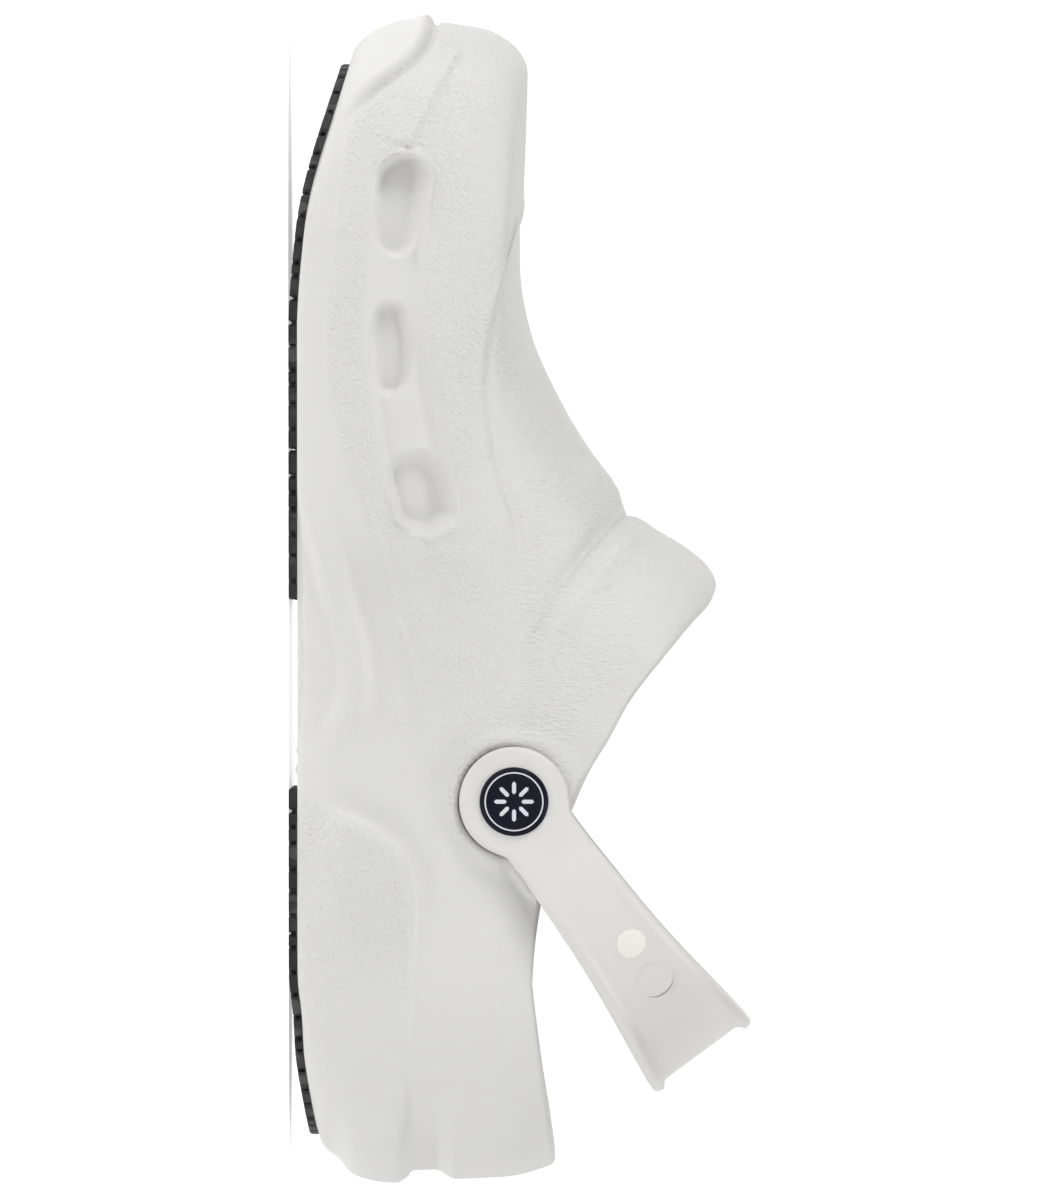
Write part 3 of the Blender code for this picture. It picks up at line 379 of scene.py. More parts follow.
def ring_angles():
    """Angles set closer where the recess and the strap's seat lie: equal steps of a summed weight."""
    fine = np.linspace(0.0, 2 * math.pi, 4001)
    at = station(fine)
    weight = 0.5 + (FINE_WEIGHT * ease(at, FINE_START - 0.04, FINE_START)
                    * (1 - ease(at, FINE_END, FINE_END + 0.06)))
    weight = weight + HEEL_FINE_WEIGHT * ease(at, 0.56, 0.62) * (1 - ease(at, 0.82, 0.9))
    total = np.concatenate(([0.0], np.cumsum((weight[1:] + weight[:-1]) / 2)))
    return np.interp(np.arange(RING_POINTS) / RING_POINTS, total / total[-1], fine)


def side_way(angle):
    """Distance round the outline from the toe tip to an angle, counted on the side that the angle lies on."""
    fine = np.linspace(0.0, 2 * math.pi, 4001)
    x, y = outline(fine)
    length = np.concatenate(([0.0], np.cumsum(np.hypot(np.diff(x), np.diff(y)))))
    way = np.interp(np.mod(angle, 2 * math.pi), fine, length)
    return np.where(np.mod(angle, 2 * math.pi) > math.pi, length[-1] - way, way)


def chart(along_mm, side):
    """Way round the outline of places given as millimetres behind the toe tip."""
    turn = np.arccos(np.clip(1 - 2 * np.asarray(along_mm, float) / 1000 / LENGTH, -1.0, 1.0))
    return side_way(turn if side > 0 else 2 * math.pi - turn)


def polyline_gap(u, v, line, closed=False):
    """Distance to a polyline, above it or inside it positive, and the share of the way along it."""
    start, end = (line, np.roll(line, -1, axis=0)) if closed else (line[:-1], line[1:])
    run = end - start
    place = np.stack((u, v), -1)[..., None, :] - start
    share = np.clip((place * run).sum(-1) / (run * run).sum(-1), 0.0, 1.0)
    gap = place - share[..., None] * run
    distance = np.sqrt((gap * gap).sum(-1))
    nearest = distance.argmin(-1)
    distance = np.take_along_axis(distance, nearest[..., None], -1)[..., 0]
    if closed:
        low = (start[:, 1] <= v[..., None]) != (end[:, 1] <= v[..., None])
        slope = run[:, 0] / np.where(run[:, 1] == 0, 1e-12, run[:, 1])
        crossed = low & (u[..., None] < start[:, 0] + (v[..., None] - start[:, 1]) * slope)
        return np.where(crossed.sum(-1) % 2 == 1, distance, -distance), None
    turn = run[:, 0] * gap[..., 1] - run[:, 1] * gap[..., 0]
    sign = np.sign(np.take_along_axis(turn, nearest[..., None], -1)[..., 0])
    way = nearest + np.take_along_axis(share, nearest[..., None], -1)[..., 0]
    return distance * np.where(sign == 0, 1, sign), way / len(run)


def smooth_line(points, count=60):
    """Points of a given line, read from the cubic through them at equal steps of their summed chord."""
    points = np.asarray(points, float)
    chord = np.concatenate(([0.0], np.cumsum(np.hypot(*np.diff(points, axis=0).T))))
    at = np.linspace(0.0, chord[-1], count)
    return np.stack((fair(chord, points[:, 0], at), fair(chord, points[:, 1], at)), -1)


def side_line(points, side):
    """A line of the side view on the chart of one side, in metres."""
    line = smooth_line(points)
    return np.stack((chart(np.maximum(line[:, 0], 0.0), side), line[:, 1] / 1000), -1)


def channel_loop(side):
    """Edge of the recess: along its lower curve and back along its upper one."""
    along = CHANNEL_ALONG[0] + (CHANNEL_ALONG[-1] - CHANNEL_ALONG[0]) * np.linspace(0.02, 1.0, 70) ** 1.5
    low, high = (TOE_HEIGHT * fair(CHANNEL_ALONG, edge, along) for edge in (CHANNEL_LOW, CHANNEL_HIGH))
    nose = np.clip((along - CHANNEL_ALONG[0]) / CHANNEL_NOSE, 0.0, 1.0)
    spread = np.sqrt(nose * (2 - nose))
    middle = (low + high) / 2
    low, high = middle + (low - middle) * spread, middle + (high - middle) * spread
    way = chart(along * LENGTH * 1000, side)
    return np.concatenate((np.stack((way, low), -1), np.stack((way, high), -1)[::-1]))


def pocket_loop(pocket, side):
    """Squared oval, |x|^p + |y|^p = 1, turned by the pocket's tilt."""
    turn = np.arange(48) * 2 * math.pi / 48
    power = 2 / pocket["power"]
    tilt = math.radians(pocket["tilt"])
    flat = np.sign(np.cos(turn)) * np.abs(np.cos(turn)) ** power * LENGTH * pocket["length"] / 2
    tall = np.sign(np.sin(turn)) * np.abs(np.sin(turn)) ** power * TOE_HEIGHT * pocket["tall"] / 2
    along = LENGTH * pocket["along"] + flat * math.cos(tilt) - tall * math.sin(tilt)
    height = TOE_HEIGHT * pocket["height"] + flat * math.sin(tilt) + tall * math.cos(tilt)
    return np.stack((chart(along * 1000, side), height), -1)


def bell(distance, width):
    """Soft round ridge, exp(-(d / width)^2)."""
    return np.exp(-(distance / width) ** 2)


def side_relief(way, height, along_mm, side):
    """Move out of the surface, in metres, by the side's forms: recess, pockets, grooves, arch, swoop and heel.

    Each form is its depth times smooth steps and soft ridges of the distance to its line on the side's chart.
    """
    mm = height * 1000
    move = np.zeros_like(height)
    low_band = ease(mm, 10.0, 16.0) * (1 - ease(mm, 40.0, 47.0))
    move += SIDE_SWELL * low_band * ease(along_mm, 40.0, 66.0) * (1 - ease(along_mm, 132.0, 146.0))

    edge, _ = polyline_gap(way, height, channel_loop(side), closed=True)
    middle = TOE_HEIGHT * (fair(CHANNEL_ALONG, CHANNEL_LOW, along_mm / 1000 / LENGTH)
                           + fair(CHANNEL_ALONG, CHANNEL_HIGH, along_mm / 1000 / LENGTH)) / 2
    below = 1 - ease(height, middle - 0.004, middle)
    soft = 0.0004 + 0.0030 * below * ease(along_mm, 38.0, 48.0) * (1 - ease(along_mm, 86.0, 98.0))
    soft = soft + 0.0018 * (1 - below) * ease(along_mm, 58.0, 70.0)
    recess = ease(edge, -soft, soft + 0.0002)
    lip_run = np.maximum(1.7 * (1 - ease(along_mm, 42.0, 54.0)), ease(along_mm, 70.0, 80.0))
    lip_width = 0.0008 + 0.0008 * ease(along_mm, 60.0, 74.0)
    lip = bell(edge + 0.4 * lip_width + 0.0008, lip_width) * (1 - below) * (0.30 + 0.70 * lip_run)
    lip += 1.6 * bell(edge + 0.0010, 0.0007) * below * (1 - ease(along_mm, 35.5, 40.0))
    lip += 0.8 * bell(edge + 0.0010, 0.0009) * below * ease(along_mm, 112.0, 122.0)
    move += CHANNEL_LIP * lip - CHANNEL_DEPTH * recess
    for pocket in POCKETS:
        inside, _ = polyline_gap(way, height, pocket_loop(pocket, side), closed=True)
        back = along_mm / 1000 - LENGTH * pocket["along"]
        rise = height - TOE_HEIGHT * pocket["height"] - back * math.tan(math.radians(pocket["tilt"]))
        wall = 0.0010 + 0.0019 * ease(rise, 0.0, 0.0045) * ease(back, -0.010, -0.004)
        wall = wall + pocket["front"] * ease(-back, 0.003, 0.008)
        move -= (POCKET_DEPTH - CHANNEL_DEPTH) * ease(inside, -0.0003, wall)
        move += 0.0002 * bell(inside + 0.0008, 0.0006) * recess

    groove, _ = polyline_gap(way, height, side_line(BUMPER_GROOVE, side))
    strong = 1 - ease(along_mm, 15.0, 28.0)
    fading = 1 - ease(along_mm, 96.0, 112.0)
    depth = BUMPER_TOE_DEPTH * strong + BUMPER_SIDE_DEPTH * (1 - strong) * fading
    move -= depth * bell(groove, BUMPER_WIDTH)
    move += BUMPER_RIDGE * strong * bell(groove + 0.0026, 0.0018)
    move -= (BUMPER_SHELF * ease(groove, 0.0, 0.0012) * (1 - ease(groove, 0.005, 0.016))
             * (1 - ease(along_mm, 6.0, 20.0)))
    move -= BUMPER_EDGE * (1 - strong) * fading * ease(-groove, 0.0, 0.0012) * ease(mm, 3.0, 8.0)
    parting, run = polyline_gap(way, height, side_line(PARTING_LINE, side))
    along_line = ease(run, 0.0, 0.1) * (1 - ease(run, 0.97, 1.0))
    move += along_line * (PARTING_RIDGE * bell(parting, 0.0008)
                          + PARTING_STEP * ease(-parting, -0.0006, 0.0006)
                          * np.exp(-np.maximum(-parting, 0.0) / 0.006))

    ridge, run = polyline_gap(way, height, side_line(ARCH_RIDGE, side))
    upper, _ = polyline_gap(way, height, side_line(ARCH_EDGE, side))
    fade = ease(run, 0.0, 0.3) * (1 - ease(run, 0.8, 1.0))
    move += fade * (ARCH_RIDGE_RISE * bell(ridge, 0.0028) - ARCH_UNDERCUT * ease(-ridge, 0.0026, 0.0068))
    share = np.clip(ridge / np.maximum(ridge - np.minimum(upper, 0.0), 1e-6), 0.0, 1.0)
    hollow = ease(share, 0.0, 0.40) * (1 - share) * (upper < 0.0) * (ridge > 0.0)
    fade = ease(run, 0.12, 0.4) * (1 - ease(run, 0.75, 1.0))
    move += fade * (ARCH_EDGE_RISE * bell(upper - 0.0006, 0.0018) - ARCH_HOLLOW * hollow)
    bulge, run = polyline_gap(way, height, side_line(HEEL_SWOOP, side))
    fade = ease(run, 0.02, 0.12)
    toward_back = ease(along_mm, 212.0, 242.0)
    raised = ease(-bulge, -0.0008, 0.0018) * ease(mm, 4.0, 16.0)
    move += fade * (SWOOP_RISE - SWOOP_FALL * toward_back) * raised
    move -= fade * SWOOP_TROUGH * bell(bulge - 0.0030, 0.0026) * (1 - toward_back)
    move -= HEEL_CUT_IN * bell(mm - 11.0, 3.4) * ease(along_mm, 269.0, 285.0)
    return move


def vamp_relief(x_mm, along_mm, height_mm):
    """Step between toe cap and vamp: the cap ends a little proud, with a thin ridge along its edge.

    The offset from the edge is the soft minimum of the offsets from the line on top and the line on the side.
    """
    top, side = np.asarray(VAMP_TOP, float), np.asarray(VAMP_SIDE, float)
    reach = 0.5
    line = fair(top[:, 0], top[:, 1], x_mm)
    slope = (fair(top[:, 0], top[:, 1], x_mm + reach) - fair(top[:, 0], top[:, 1], x_mm - reach)) / (2 * reach)
    behind = (along_mm - line) / np.sqrt(1 + slope ** 2)
    above = height_mm - fair(side[:, 0], side[:, 1], along_mm)
    blend = 1.6
    behind, above = np.clip(behind / blend, -30, 30), np.clip(above / blend, -30, 30)
    offset = -blend * np.log(np.exp(-behind) + np.exp(-above))
    keep = (1 - ease(along_mm, 126.0, 142.0)) * ease(height_mm, 42.0, 46.0)
    cap = (1 - ease(offset, -1.6, 1.0)) * np.exp(np.minimum(offset, 0.0) / 9.0)
    return keep * (VAMP_STEP * cap + 0.0004 * bell(offset + 0.8, 0.7) - 0.0003 * bell(offset - 1.4, 1.2))


def collar_relief(along_mm, height_mm):
    """Trough at the foot of the collar's side and the rounded ridge above it."""
    ridge, way = polyline_gap(along_mm, height_mm, smooth_line(COLLAR_LINE))
    crest = ease(way, 0.0, 0.12) * (1 - ease(way, 0.72, 1.0))
    trough = (0.35 + 0.65 * ease(way, 0.1, 0.3)) * (1 - ease(way, 0.55, 0.95))
    return COLLAR_CREST * crest * bell(ridge, 2.2) - COLLAR_TROUGH * trough * bell(ridge + 4.6, 2.6)


def boss_seat(points):
    """Flat seat for the strap's boss inside a low pad, which ends below in a ledge along the strap."""
    back = (points[..., 1] - (PIVOT_ALONG - HALF_LENGTH)) * 1000
    rise = (points[..., 2] - PIVOT_HEIGHT) * 1000
    distance = np.hypot(back, rise)
    ledge, way = polyline_gap(back, rise, smooth_line(SEAT_LEDGE))
    above = (ease(ledge, -0.7, 0.5) * (1 - ease(ledge, 4.0, 10.0))
             * ease(way, 0.02, 0.2) * (1 - ease(way, 0.9, 1.0)))
    round_boss = 1 - ease(distance, 1000 * BOSS_RADIUS + 1.0, 1000 * BOSS_RADIUS + 6.0)
    pad = SEAT_PAD * np.maximum(round_boss, above)
    reach = np.abs(points[..., 0])
    seat = (1 - ease(distance, 1000 * BOSS_RADIUS - 0.6, 1000 * BOSS_RADIUS + 0.8)) * (reach > STRAP_SEAT * 0.8)
    reach = reach + pad * (reach > STRAP_SEAT * 0.8)
    reach = reach + (np.minimum(reach, STRAP_SEAT) - reach) * seat
    points[..., 0] = np.sign(points[..., 0]) * reach
    return points


def soften_heel(points, angle, foot_row):
    """Round the heel's wall where it meets the collar: rows drawn to their neighbours' mean, many times."""
    rows = np.arange(len(points))[:, None]
    near = ease(rows, foot_row - 22, foot_row - 13) * (1 - ease(rows, len(points) - 9, len(points) - 4))
    share = (0.5 * near * (1 - front_weight(angle)))[..., None]
    for _ in range(HEEL_SOFTENING):
        middle = points.copy()
        middle[1:-1] = (points[:-2] + points[2:]) / 2
        points = points + (middle - points) * share
    return points


def body_points():
    """Rings of the body from the middle of the underside to the middle of the footbed, and its grain mask."""
    angle = ring_angles()
    edge_shares = shares((0.0, 0.78, 18), (0.78, 0.999, 12))[:-1]
    flank_shares = shares((0.0, 0.135, 22), (0.135, SHOULDER_RUN, 13), (SHOULDER_RUN, 1.0, 34))
    collar_shares = shares((0.06, 1.0, 14))
    outer = np.concatenate((sole_edge(angle, edge_shares), flank(angle, flank_shares),
                            collar(angle, collar_shares)))
    plain = np.concatenate((sole_edge(angle, edge_shares[-1:]), flank(angle, flank_shares, groove_depth=0.0),
                            collar(angle, collar_shares)))
    outer = soften_heel(outer, angle, len(edge_shares) + len(flank_shares))
    picked = np.unique(np.concatenate((np.arange(1, len(plain), 6), [len(plain) - 1])))
    up_wall = np.gradient(plain, axis=0)[-1]
    heel_share = (1 - front_weight(angle))[None, :, None]
    thickness = WALL + (HEEL_WALL - WALL) * heel_share * (1 - np.linspace(0.0, 1.0, len(plain))[:, None, None])
    inner = (plain - thickness * grid_normals(plain))[picked]

    middle, reach = (outer[-1] + inner[-1]) / 2, (outer[-1] - inner[-1]) / 2
    upward = up_wall / np.linalg.norm(up_wall, axis=1, keepdims=True)
    turn = (np.arange(1, 7) / 7 * math.pi)[:, None, None]
    lip = middle + reach * np.cos(turn) + upward * RIM_ROUND * WALL * np.sin(turn)

    centre = np.array((0.0, 0.03 * LENGTH))
    scale = np.concatenate(([0.992, 0.98, 0.962, 0.94, 0.91], np.linspace(0.87, 0.06, 9)))[:, None, None]
    floor_xy = centre + (inner[0][:, :2] - centre) * scale
    fillet = FOOTBED_FILLET * ease(scale[..., 0], 0.88, 1.0)
    floor_z = footbed_height(floor_xy[..., 1] / LENGTH + 0.5) + fillet
    floor_z = np.minimum(floor_z, inner[0][:, 2] - FOOTBED_SEAM * (1 + scale[..., 0]))
    floor = np.concatenate((floor_xy, floor_z[..., None]), -1)
    scale = np.linspace(0.08, 0.97, 6)[:, None, None]
    under_xy = centre + (outer[0][:, :2] - centre) * scale
    under = np.concatenate((under_xy, underside(under_xy[..., 1] / LENGTH + 0.5)[..., None]), -1)

    outer, grain = outer_relief(outer, angle, len(edge_shares) + len(flank_shares))
    points = np.concatenate((under, outer, lip, inner[::-1], floor))
    grain = np.concatenate((np.zeros(under.shape[:2]), grain, np.full(lip.shape[:2], 0.15),
                            np.full(inner.shape[:2], 0.35), np.zeros(floor.shape[:2])))
    bed = np.concatenate([np.full(part.shape[:2], float(part is floor))
                          for part in (under, outer, lip, inner, floor)])
    bottom = (*centre, float(underside(centre[1] / LENGTH + 0.5)))
    top = (*centre, float(footbed_height(centre[1] / LENGTH + 0.5)))
    return points, grain, bed, bottom, top


def side_smooth(way, height, along_mm, side):
    """Where the mould is polished: smooth steps to 1 in the recess, under the bumper's groove, on the waist."""
    edge, _ = polyline_gap(way, height, channel_loop(side), closed=True)
    bumper, _ = polyline_gap(way, height, side_line(BUMPER_GROOVE, side))
    swell, _ = polyline_gap(way, height, side_line(HEEL_SWOOP, side))
    band = ease(-bumper, -0.0010, 0.0006) * (1 - ease(along_mm, 168.0, 184.0))
    band *= 1 - 0.15 * ease(along_mm, 24.0, 34.0)
    waist = ease(along_mm, 168.0, 182.0) * ease(swell, -0.0006, 0.0010)
    waist *= 1 - ease(height * 1000, 32.0, 44.0) * (1 - ease(along_mm, 198.0, 212.0))
    return np.maximum(np.maximum(ease(edge, -0.0022, -0.0008), band), 0.85 * waist)


def outer_relief(outer, angle, flank_end):
    """Move the outer rows along their normals by the mould's low forms, and say how much grain shows where."""
    normal = grid_normals(outer)
    along_mm = (outer[..., 1] + HALF_LENGTH) * 1000
    x_mm, height_mm = outer[..., 0] * 1000, outer[..., 2] * 1000
    way = np.broadcast_to(side_way(angle), height_mm.shape)
    move, smooth = np.zeros(height_mm.shape), np.zeros(height_mm.shape)
    upright = 1 - ease(normal[..., 2], 0.55, 0.85)
    for side in (1, -1):
        here = (np.mod(angle, 2 * math.pi) <= math.pi) == (side > 0)
        cells = here[None, :] & (height_mm < SIDE_TOP_MM)
        spots = way[cells], outer[..., 2][cells], along_mm[cells], side
        move[cells] = side_relief(*spots) * upright[cells]
        smooth[cells] = side_smooth(*spots)
    rows = np.arange(len(outer))[:, None]
    move += vamp_relief(x_mm, along_mm, height_mm) * (rows < flank_end)
    move += collar_relief(along_mm, height_mm) * (along_mm > 120.0)
    swoop = ease(along_mm, 145.0, 149.0) * (1 - ease(along_mm, 187.0, 191.0))
    scallop = SCALLOP_RISE * swoop * np.maximum(np.cos(along_mm * 2 * math.pi / SCALLOP_PITCH_MM), 0.0)
    moved = outer + normal * move[..., None]
    moved[..., 2] -= scallop * (rows < 2)
    moved = boss_seat(moved)

    heel_smooth = ease(along_mm, 228.0, 250.0) * (1 - ease(height_mm, 40.0, 46.0))
    heel_back = ease(along_mm, 205.0, 225.0) * ease(height_mm, 28.0, 34.0)
    rim_smooth = ease(rows - flank_end, 6.0, 13.0)
    grain = (1 - smooth) * (1 - 0.7 * heel_smooth) * (1 - 0.85 * heel_back) * (1 - 0.5 * rim_smooth)
    return moved, grain


def grid_mesh(name, points, first_point=None, last_point=None):
    """Mesh of rows of closed rings, with a fan to a point at each end where one is given."""
    levels, count = points.shape[:2]
    level, index = np.meshgrid(np.arange(levels - 1), np.arange(count), indexing="ij")
    following = (index + 1) % count
    quads = np.stack((level * count + index, level * count + following,
                      (level + 1) * count + following, (level + 1) * count + index), -1).reshape(-1, 4)
    vertices = points.reshape(-1, 3)
    loops, starts = [quads.ravel()], [np.arange(len(quads)) * 4]
    around = np.arange(count)
    for tip_point, row, order in ((first_point, 0, (1, 0)), (last_point, levels - 1, (0, 1))):
        if tip_point is None:
            continue
        tip = np.full(count, len(vertices))
        vertices = np.vstack((vertices, tip_point))
        pair = (row * count + around, row * count + (around + 1) % count)
        fan = np.stack((tip, pair[order[0]], pair[order[1]]), -1)
        starts.append(sum(len(part) for part in loops) + np.arange(count) * 3)
        loops.append(fan.ravel())
    return fill_mesh(name, vertices, np.concatenate(loops), np.concatenate(starts))


def fill_mesh(name, vertices, loops, starts):
    """Mesh from vertices, the corners of all faces in a row, and each face's first corner."""
    mesh = bpy.data.meshes.new(name)
    mesh.vertices.add(len(vertices))
    mesh.vertices.foreach_set("co", np.asarray(vertices, np.float32).ravel())
    mesh.loops.add(len(loops))
    mesh.loops.foreach_set("vertex_index", np.asarray(loops, np.int32))
    mesh.polygons.add(len(starts))
    mesh.polygons.foreach_set("loop_start", np.asarray(starts, np.int32))
    mesh.update(calc_edges=True)
    mesh.validate()
    mesh.shade_smooth()
    return mesh


def point_value(mesh, name, values):
    """A number kept at each vertex, which a material can read."""
    mesh.attributes.new(name, "FLOAT", "POINT").data.foreach_set("value", np.asarray(values, np.float32))


def place(name, mesh, slot, *nodes):
    """Object of a finished mesh that rides on the body and stands for CAD nodes."""
    piece = bpy.data.objects.new(name, mesh)
    bpy.context.scene.collection.objects.link(piece)
    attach(piece, "root")
    if nodes:
        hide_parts(*nodes)
    return piece


class Signal:
    """One output socket of a shader tree. Arithmetic on it adds Math nodes, and node() adds any other node."""

    def __init__(self, tree, socket):
        self.tree = tree
        self.socket = socket

    def node(self, kind, settings, inputs, output=0):
        """Add a node of a type, make its settings and fill its sockets with values or links."""
        made = self.tree.nodes.new(kind)
        for key, value in settings.items():
            setattr(made, key, value)
        for key, value in inputs.items():
            if isinstance(value, Signal):
                self.tree.links.new(value.socket, made.inputs[key])
            else:
                made.inputs[key].default_value = value
        return Signal(self.tree, made.outputs[output])

    def math(self, operation, first, second, clamp=False):
        return self.node("ShaderNodeMath", {"operation": operation, "use_clamp": clamp}, {0: first, 1: second})

    def __add__(self, other):
        return self.math("ADD", self, other)

    def __radd__(self, other):
        return self.math("ADD", other, self)

    def __sub__(self, other):
        return self.math("SUBTRACT", self, other)

    def __rsub__(self, other):
        return self.math("SUBTRACT", other, self)

    def __mul__(self, other):
        return self.math("MULTIPLY", self, other)

    def __rmul__(self, other):
        return self.math("MULTIPLY", other, self)

    def between(self, low, high):
        """0 at low and 1 at high, held there outside."""
        return self.math("MULTIPLY", self - low, 1 / (high - low), clamp=True)

    def noise(self, scale, detail=2.0, rough=0.5):
        """Soft noise from 0 to 1, with its scale in cells a metre."""
        return self.node("ShaderNodeTexNoise", {}, {"Vector": self, "Scale": scale, "Detail": detail,
                                                    "Roughness": rough})

    def stretched(self, scale):
        """Coordinates times a scale for each axis, for a pattern that is longer one way."""
        return self.node("ShaderNodeMapping", {}, {"Vector": self, "Scale": scale})


def mixed(share, first, second):
    """Colour between two colours or signals of colour."""
    return share.node("ShaderNodeMix", {"data_type": "RGBA"}, {0: share, 6: first, 7: second}, output=2)


def finish_start(name):
    """New material, its Principled shader, and the Object coordinates as a signal."""
    made = bpy.data.materials.new(name)
    made.use_nodes = True
    tree = made.node_tree
    shader = tree.nodes["Principled BSDF"]
    coordinates = tree.nodes.new("ShaderNodeTexCoord")
    return made, shader, Signal(tree, coordinates.outputs["Object"])


def connect(signal, shader, socket):
    """Link a signal to a named socket of a shader."""
    signal.tree.links.new(signal.socket, shader.inputs[socket])


def set_bump(shader, height, distance, strength=1.0):
    """Bump of a shader from a height signal, whose step from 0 to 1 stands for the distance, in metres."""
    bump = height.node("ShaderNodeBump", {}, {"Height": height, "Distance": distance, "Strength": strength})
    connect(bump, shader, "Normal")


def white_foam():
    """Satin white foam: wrinkles on top, pebbles on the sides, and a footbed painted darker and warmer as
    shade.
    """
    made, shader, spot = finish_start("moulded_white_foam")
    grain = spot.node("ShaderNodeAttribute", {"attribute_name": "grain"}, {}, output=2)
    bed = spot.node("ShaderNodeAttribute", {"attribute_name": "footbed"}, {}, output=2)
    on_top = spot.node("ShaderNodeSeparateXYZ", {}, {0: spot}, output=2).between(0.045, 0.062)

    wrinkles = spot.stretched((520.0, 1500.0, 560.0)).noise(1.0, 1.5, 0.5)
    pebbles = spot.stretched((1250.0, 1100.0, 1250.0)).noise(1.0, 1.5, 0.5)
    pressed = wrinkles * on_top + pebbles * (1 - on_top)
    patch = spot.noise(45.0, 2.0, 0.5).between(0.35, 0.65)
    height = pressed * (0.8 + 0.4 * patch) * grain
    lines = spot.stretched((1500.0, 60.0, 1.0)).noise(1.0, 1.0, 0.5) * bed
    set_bump(shader, height + 0.3 * lines, 0.00055, 1.0)

    tint = spot.noise(9.0, 2.0, 0.5).between(0.3, 0.7)
    foam = mixed(tint, *FOAM_TONES)
    # Painted shade: the footbed takes darker, warmer tones for the shade and warm bounce light inside the
    # opening.
    footbed_shade_tone = mixed(spot.noise(60.0, 3.0, 0.6).between(0.35, 0.65), *FOOTBED_SHADE_TONES)
    connect(mixed(bed, foam, footbed_shade_tone), shader, "Base Color")
    connect(0.43 + 0.12 * spot.noise(300.0, 2.0, 0.5) + 0.16 * bed, shader, "Roughness")
    shader.inputs["Specular IOR Level"].default_value = 0.42
    return made


body_grid, grain_mask, bed_mask, lowest_point, footbed_point = body_points()
body_mesh = grid_mesh("foam_body", body_grid, lowest_point, footbed_point)
point_value(body_mesh, "grain", np.append(grain_mask.ravel(), (0.0, 0.0)))
point_value(body_mesh, "footbed", np.append(bed_mask.ravel(), (0.0, 1.0)))
foam_finish = white_foam()
body_mesh.materials.append(foam_finish)
place("foam_body", body_mesh, "white_foam", "clog_body")

# Footbed nubs. The mould gives the footbed rows of small round nubs from the ball of the foot to the waist, in
# the same foam. Each is a low dome, and one mesh holds them all.
NUB_RADIUS = 0.0011
NUB_RISE = 0.0007
NUB_PITCH = 0.0040
NUB_START = 0.118
NUB_END = 0.176
NUB_MIDDLE = 0.002
NUB_REACH = 0.030
NUB_CORNERS = 10


def nub_mesh():
    """Domes on a staggered grid: ring radius is the cosine and height the sine of the climb, at all centres."""
    rows = np.arange(round((NUB_END - NUB_START) / NUB_PITCH))
    columns = np.arange(-7, 9)
    row, column = (part.ravel() for part in np.meshgrid(rows, columns, indexing="ij"))
    x = (column + 0.5 * (row % 2)) * NUB_PITCH
    y = NUB_START + row * NUB_PITCH - HALF_LENGTH
    keep = np.abs(x - NUB_MIDDLE) < NUB_REACH
    x, y = x[keep], y[keep]
    z = footbed_height(y / LENGTH + 0.5)
    turn = np.arange(NUB_CORNERS) * 2 * math.pi / NUB_CORNERS
    climb = np.radians((-25.0, 0.0, 35.0, 65.0))
    ring_x = NUB_RADIUS * np.cos(climb)[:, None] * np.cos(turn)
    ring_y = NUB_RADIUS * np.cos(climb)[:, None] * np.sin(turn)
    ring_z = np.broadcast_to(NUB_RISE * np.sin(climb)[:, None], ring_x.shape)
    dome = np.stack((ring_x, ring_y, ring_z), -1).reshape(-1, 3)
    dome = np.vstack((dome, (0.0, 0.0, -NUB_RISE * 0.5), (0.0, 0.0, NUB_RISE)))
    vertices = (dome[None] + np.stack((x, y, z), -1)[:, None]).reshape(-1, 3)
    around, after = np.arange(NUB_CORNERS), (np.arange(NUB_CORNERS) + 1) % NUB_CORNERS
    rings = [level * NUB_CORNERS for level in range(len(climb))]
    foot, tip = np.full(NUB_CORNERS, len(dome) - 2), np.full(NUB_CORNERS, len(dome) - 1)
    quads = [np.stack((low + around, low + after, high + after, high + around), -1)
             for low, high in zip(rings[:-1], rings[1:])]
    fans = [np.stack((foot, after, around), -1), np.stack((tip, rings[-1] + around, rings[-1] + after), -1)]
    faces = [(part[None] + np.arange(len(x))[:, None, None] * len(dome)).reshape(-1, part.shape[1])
             for part in quads + fans]
    loops = np.concatenate([part.ravel() for part in faces])
    sizes = np.concatenate([np.full(len(part), part.shape[1]) for part in faces])
    return fill_mesh("footbed_nubs", vertices, loops, np.concatenate(([0], np.cumsum(sizes)[:-1])))


nubs = nub_mesh()
point_value(nubs, "grain", np.zeros(len(nubs.vertices)))
point_value(nubs, "footbed", np.ones(len(nubs.vertices)))
nubs.materials.append(foam_finish)
place("footbed_nubs", nubs, "white_foam")

# Tread pods. Two pads of black slip-resistant rubber are glued into the underside, under ball and heel.
# Each is a thin plate with close rows of small chamfered lugs, and lugs stand edge to edge along its sides.
POD_THICKNESS = 0.0018
POD_PROUD = 0.0004
POD_MARGIN = 0.0020
POD_SPANS = {"forefoot": (0.047, 0.500), "heel": (0.660, 0.953)}
EDGE_LUG = 0.0052
LUG_VARIATION = 0.2
EDGE_LUG_DEPTH = 0.0042
LUG_GAP = 0.0006
LUG_ROW = 0.0062
LUG_COLUMN = 0.0070
LUG_CHAMFER = 0.0006
LUG_CORNER = 0.72
LUG_TAPER = 0.86
LUG_ROOT = 0.0004
LUG_TURN = 0.35
RUBBER_TONES = ((0.011, 0.011, 0.012, 1.0), (0.085, 0.085, 0.088, 1.0))


def pod_edge(span, count, inset):
    """Closed edge of a pod: the underside's edge moved in, cut straight across in front and behind."""
    start, end = (share * LENGTH - HALF_LENGTH for share in span)
    fine = np.linspace(0.0, 2 * math.pi, 1441)
    edge = sole_edge(fine, np.zeros(1))
    out_x, out_y = outward(fine)
    x, y = edge[:, 0] - inset * out_x, edge[:, 1] - inset * out_y
    places = np.linspace(start, end, count)
    inner = np.interp(places, y[:721], x[:721])
    outer = np.interp(places, y[720:][::-1], x[720:][::-1])
    return places, inner, outer


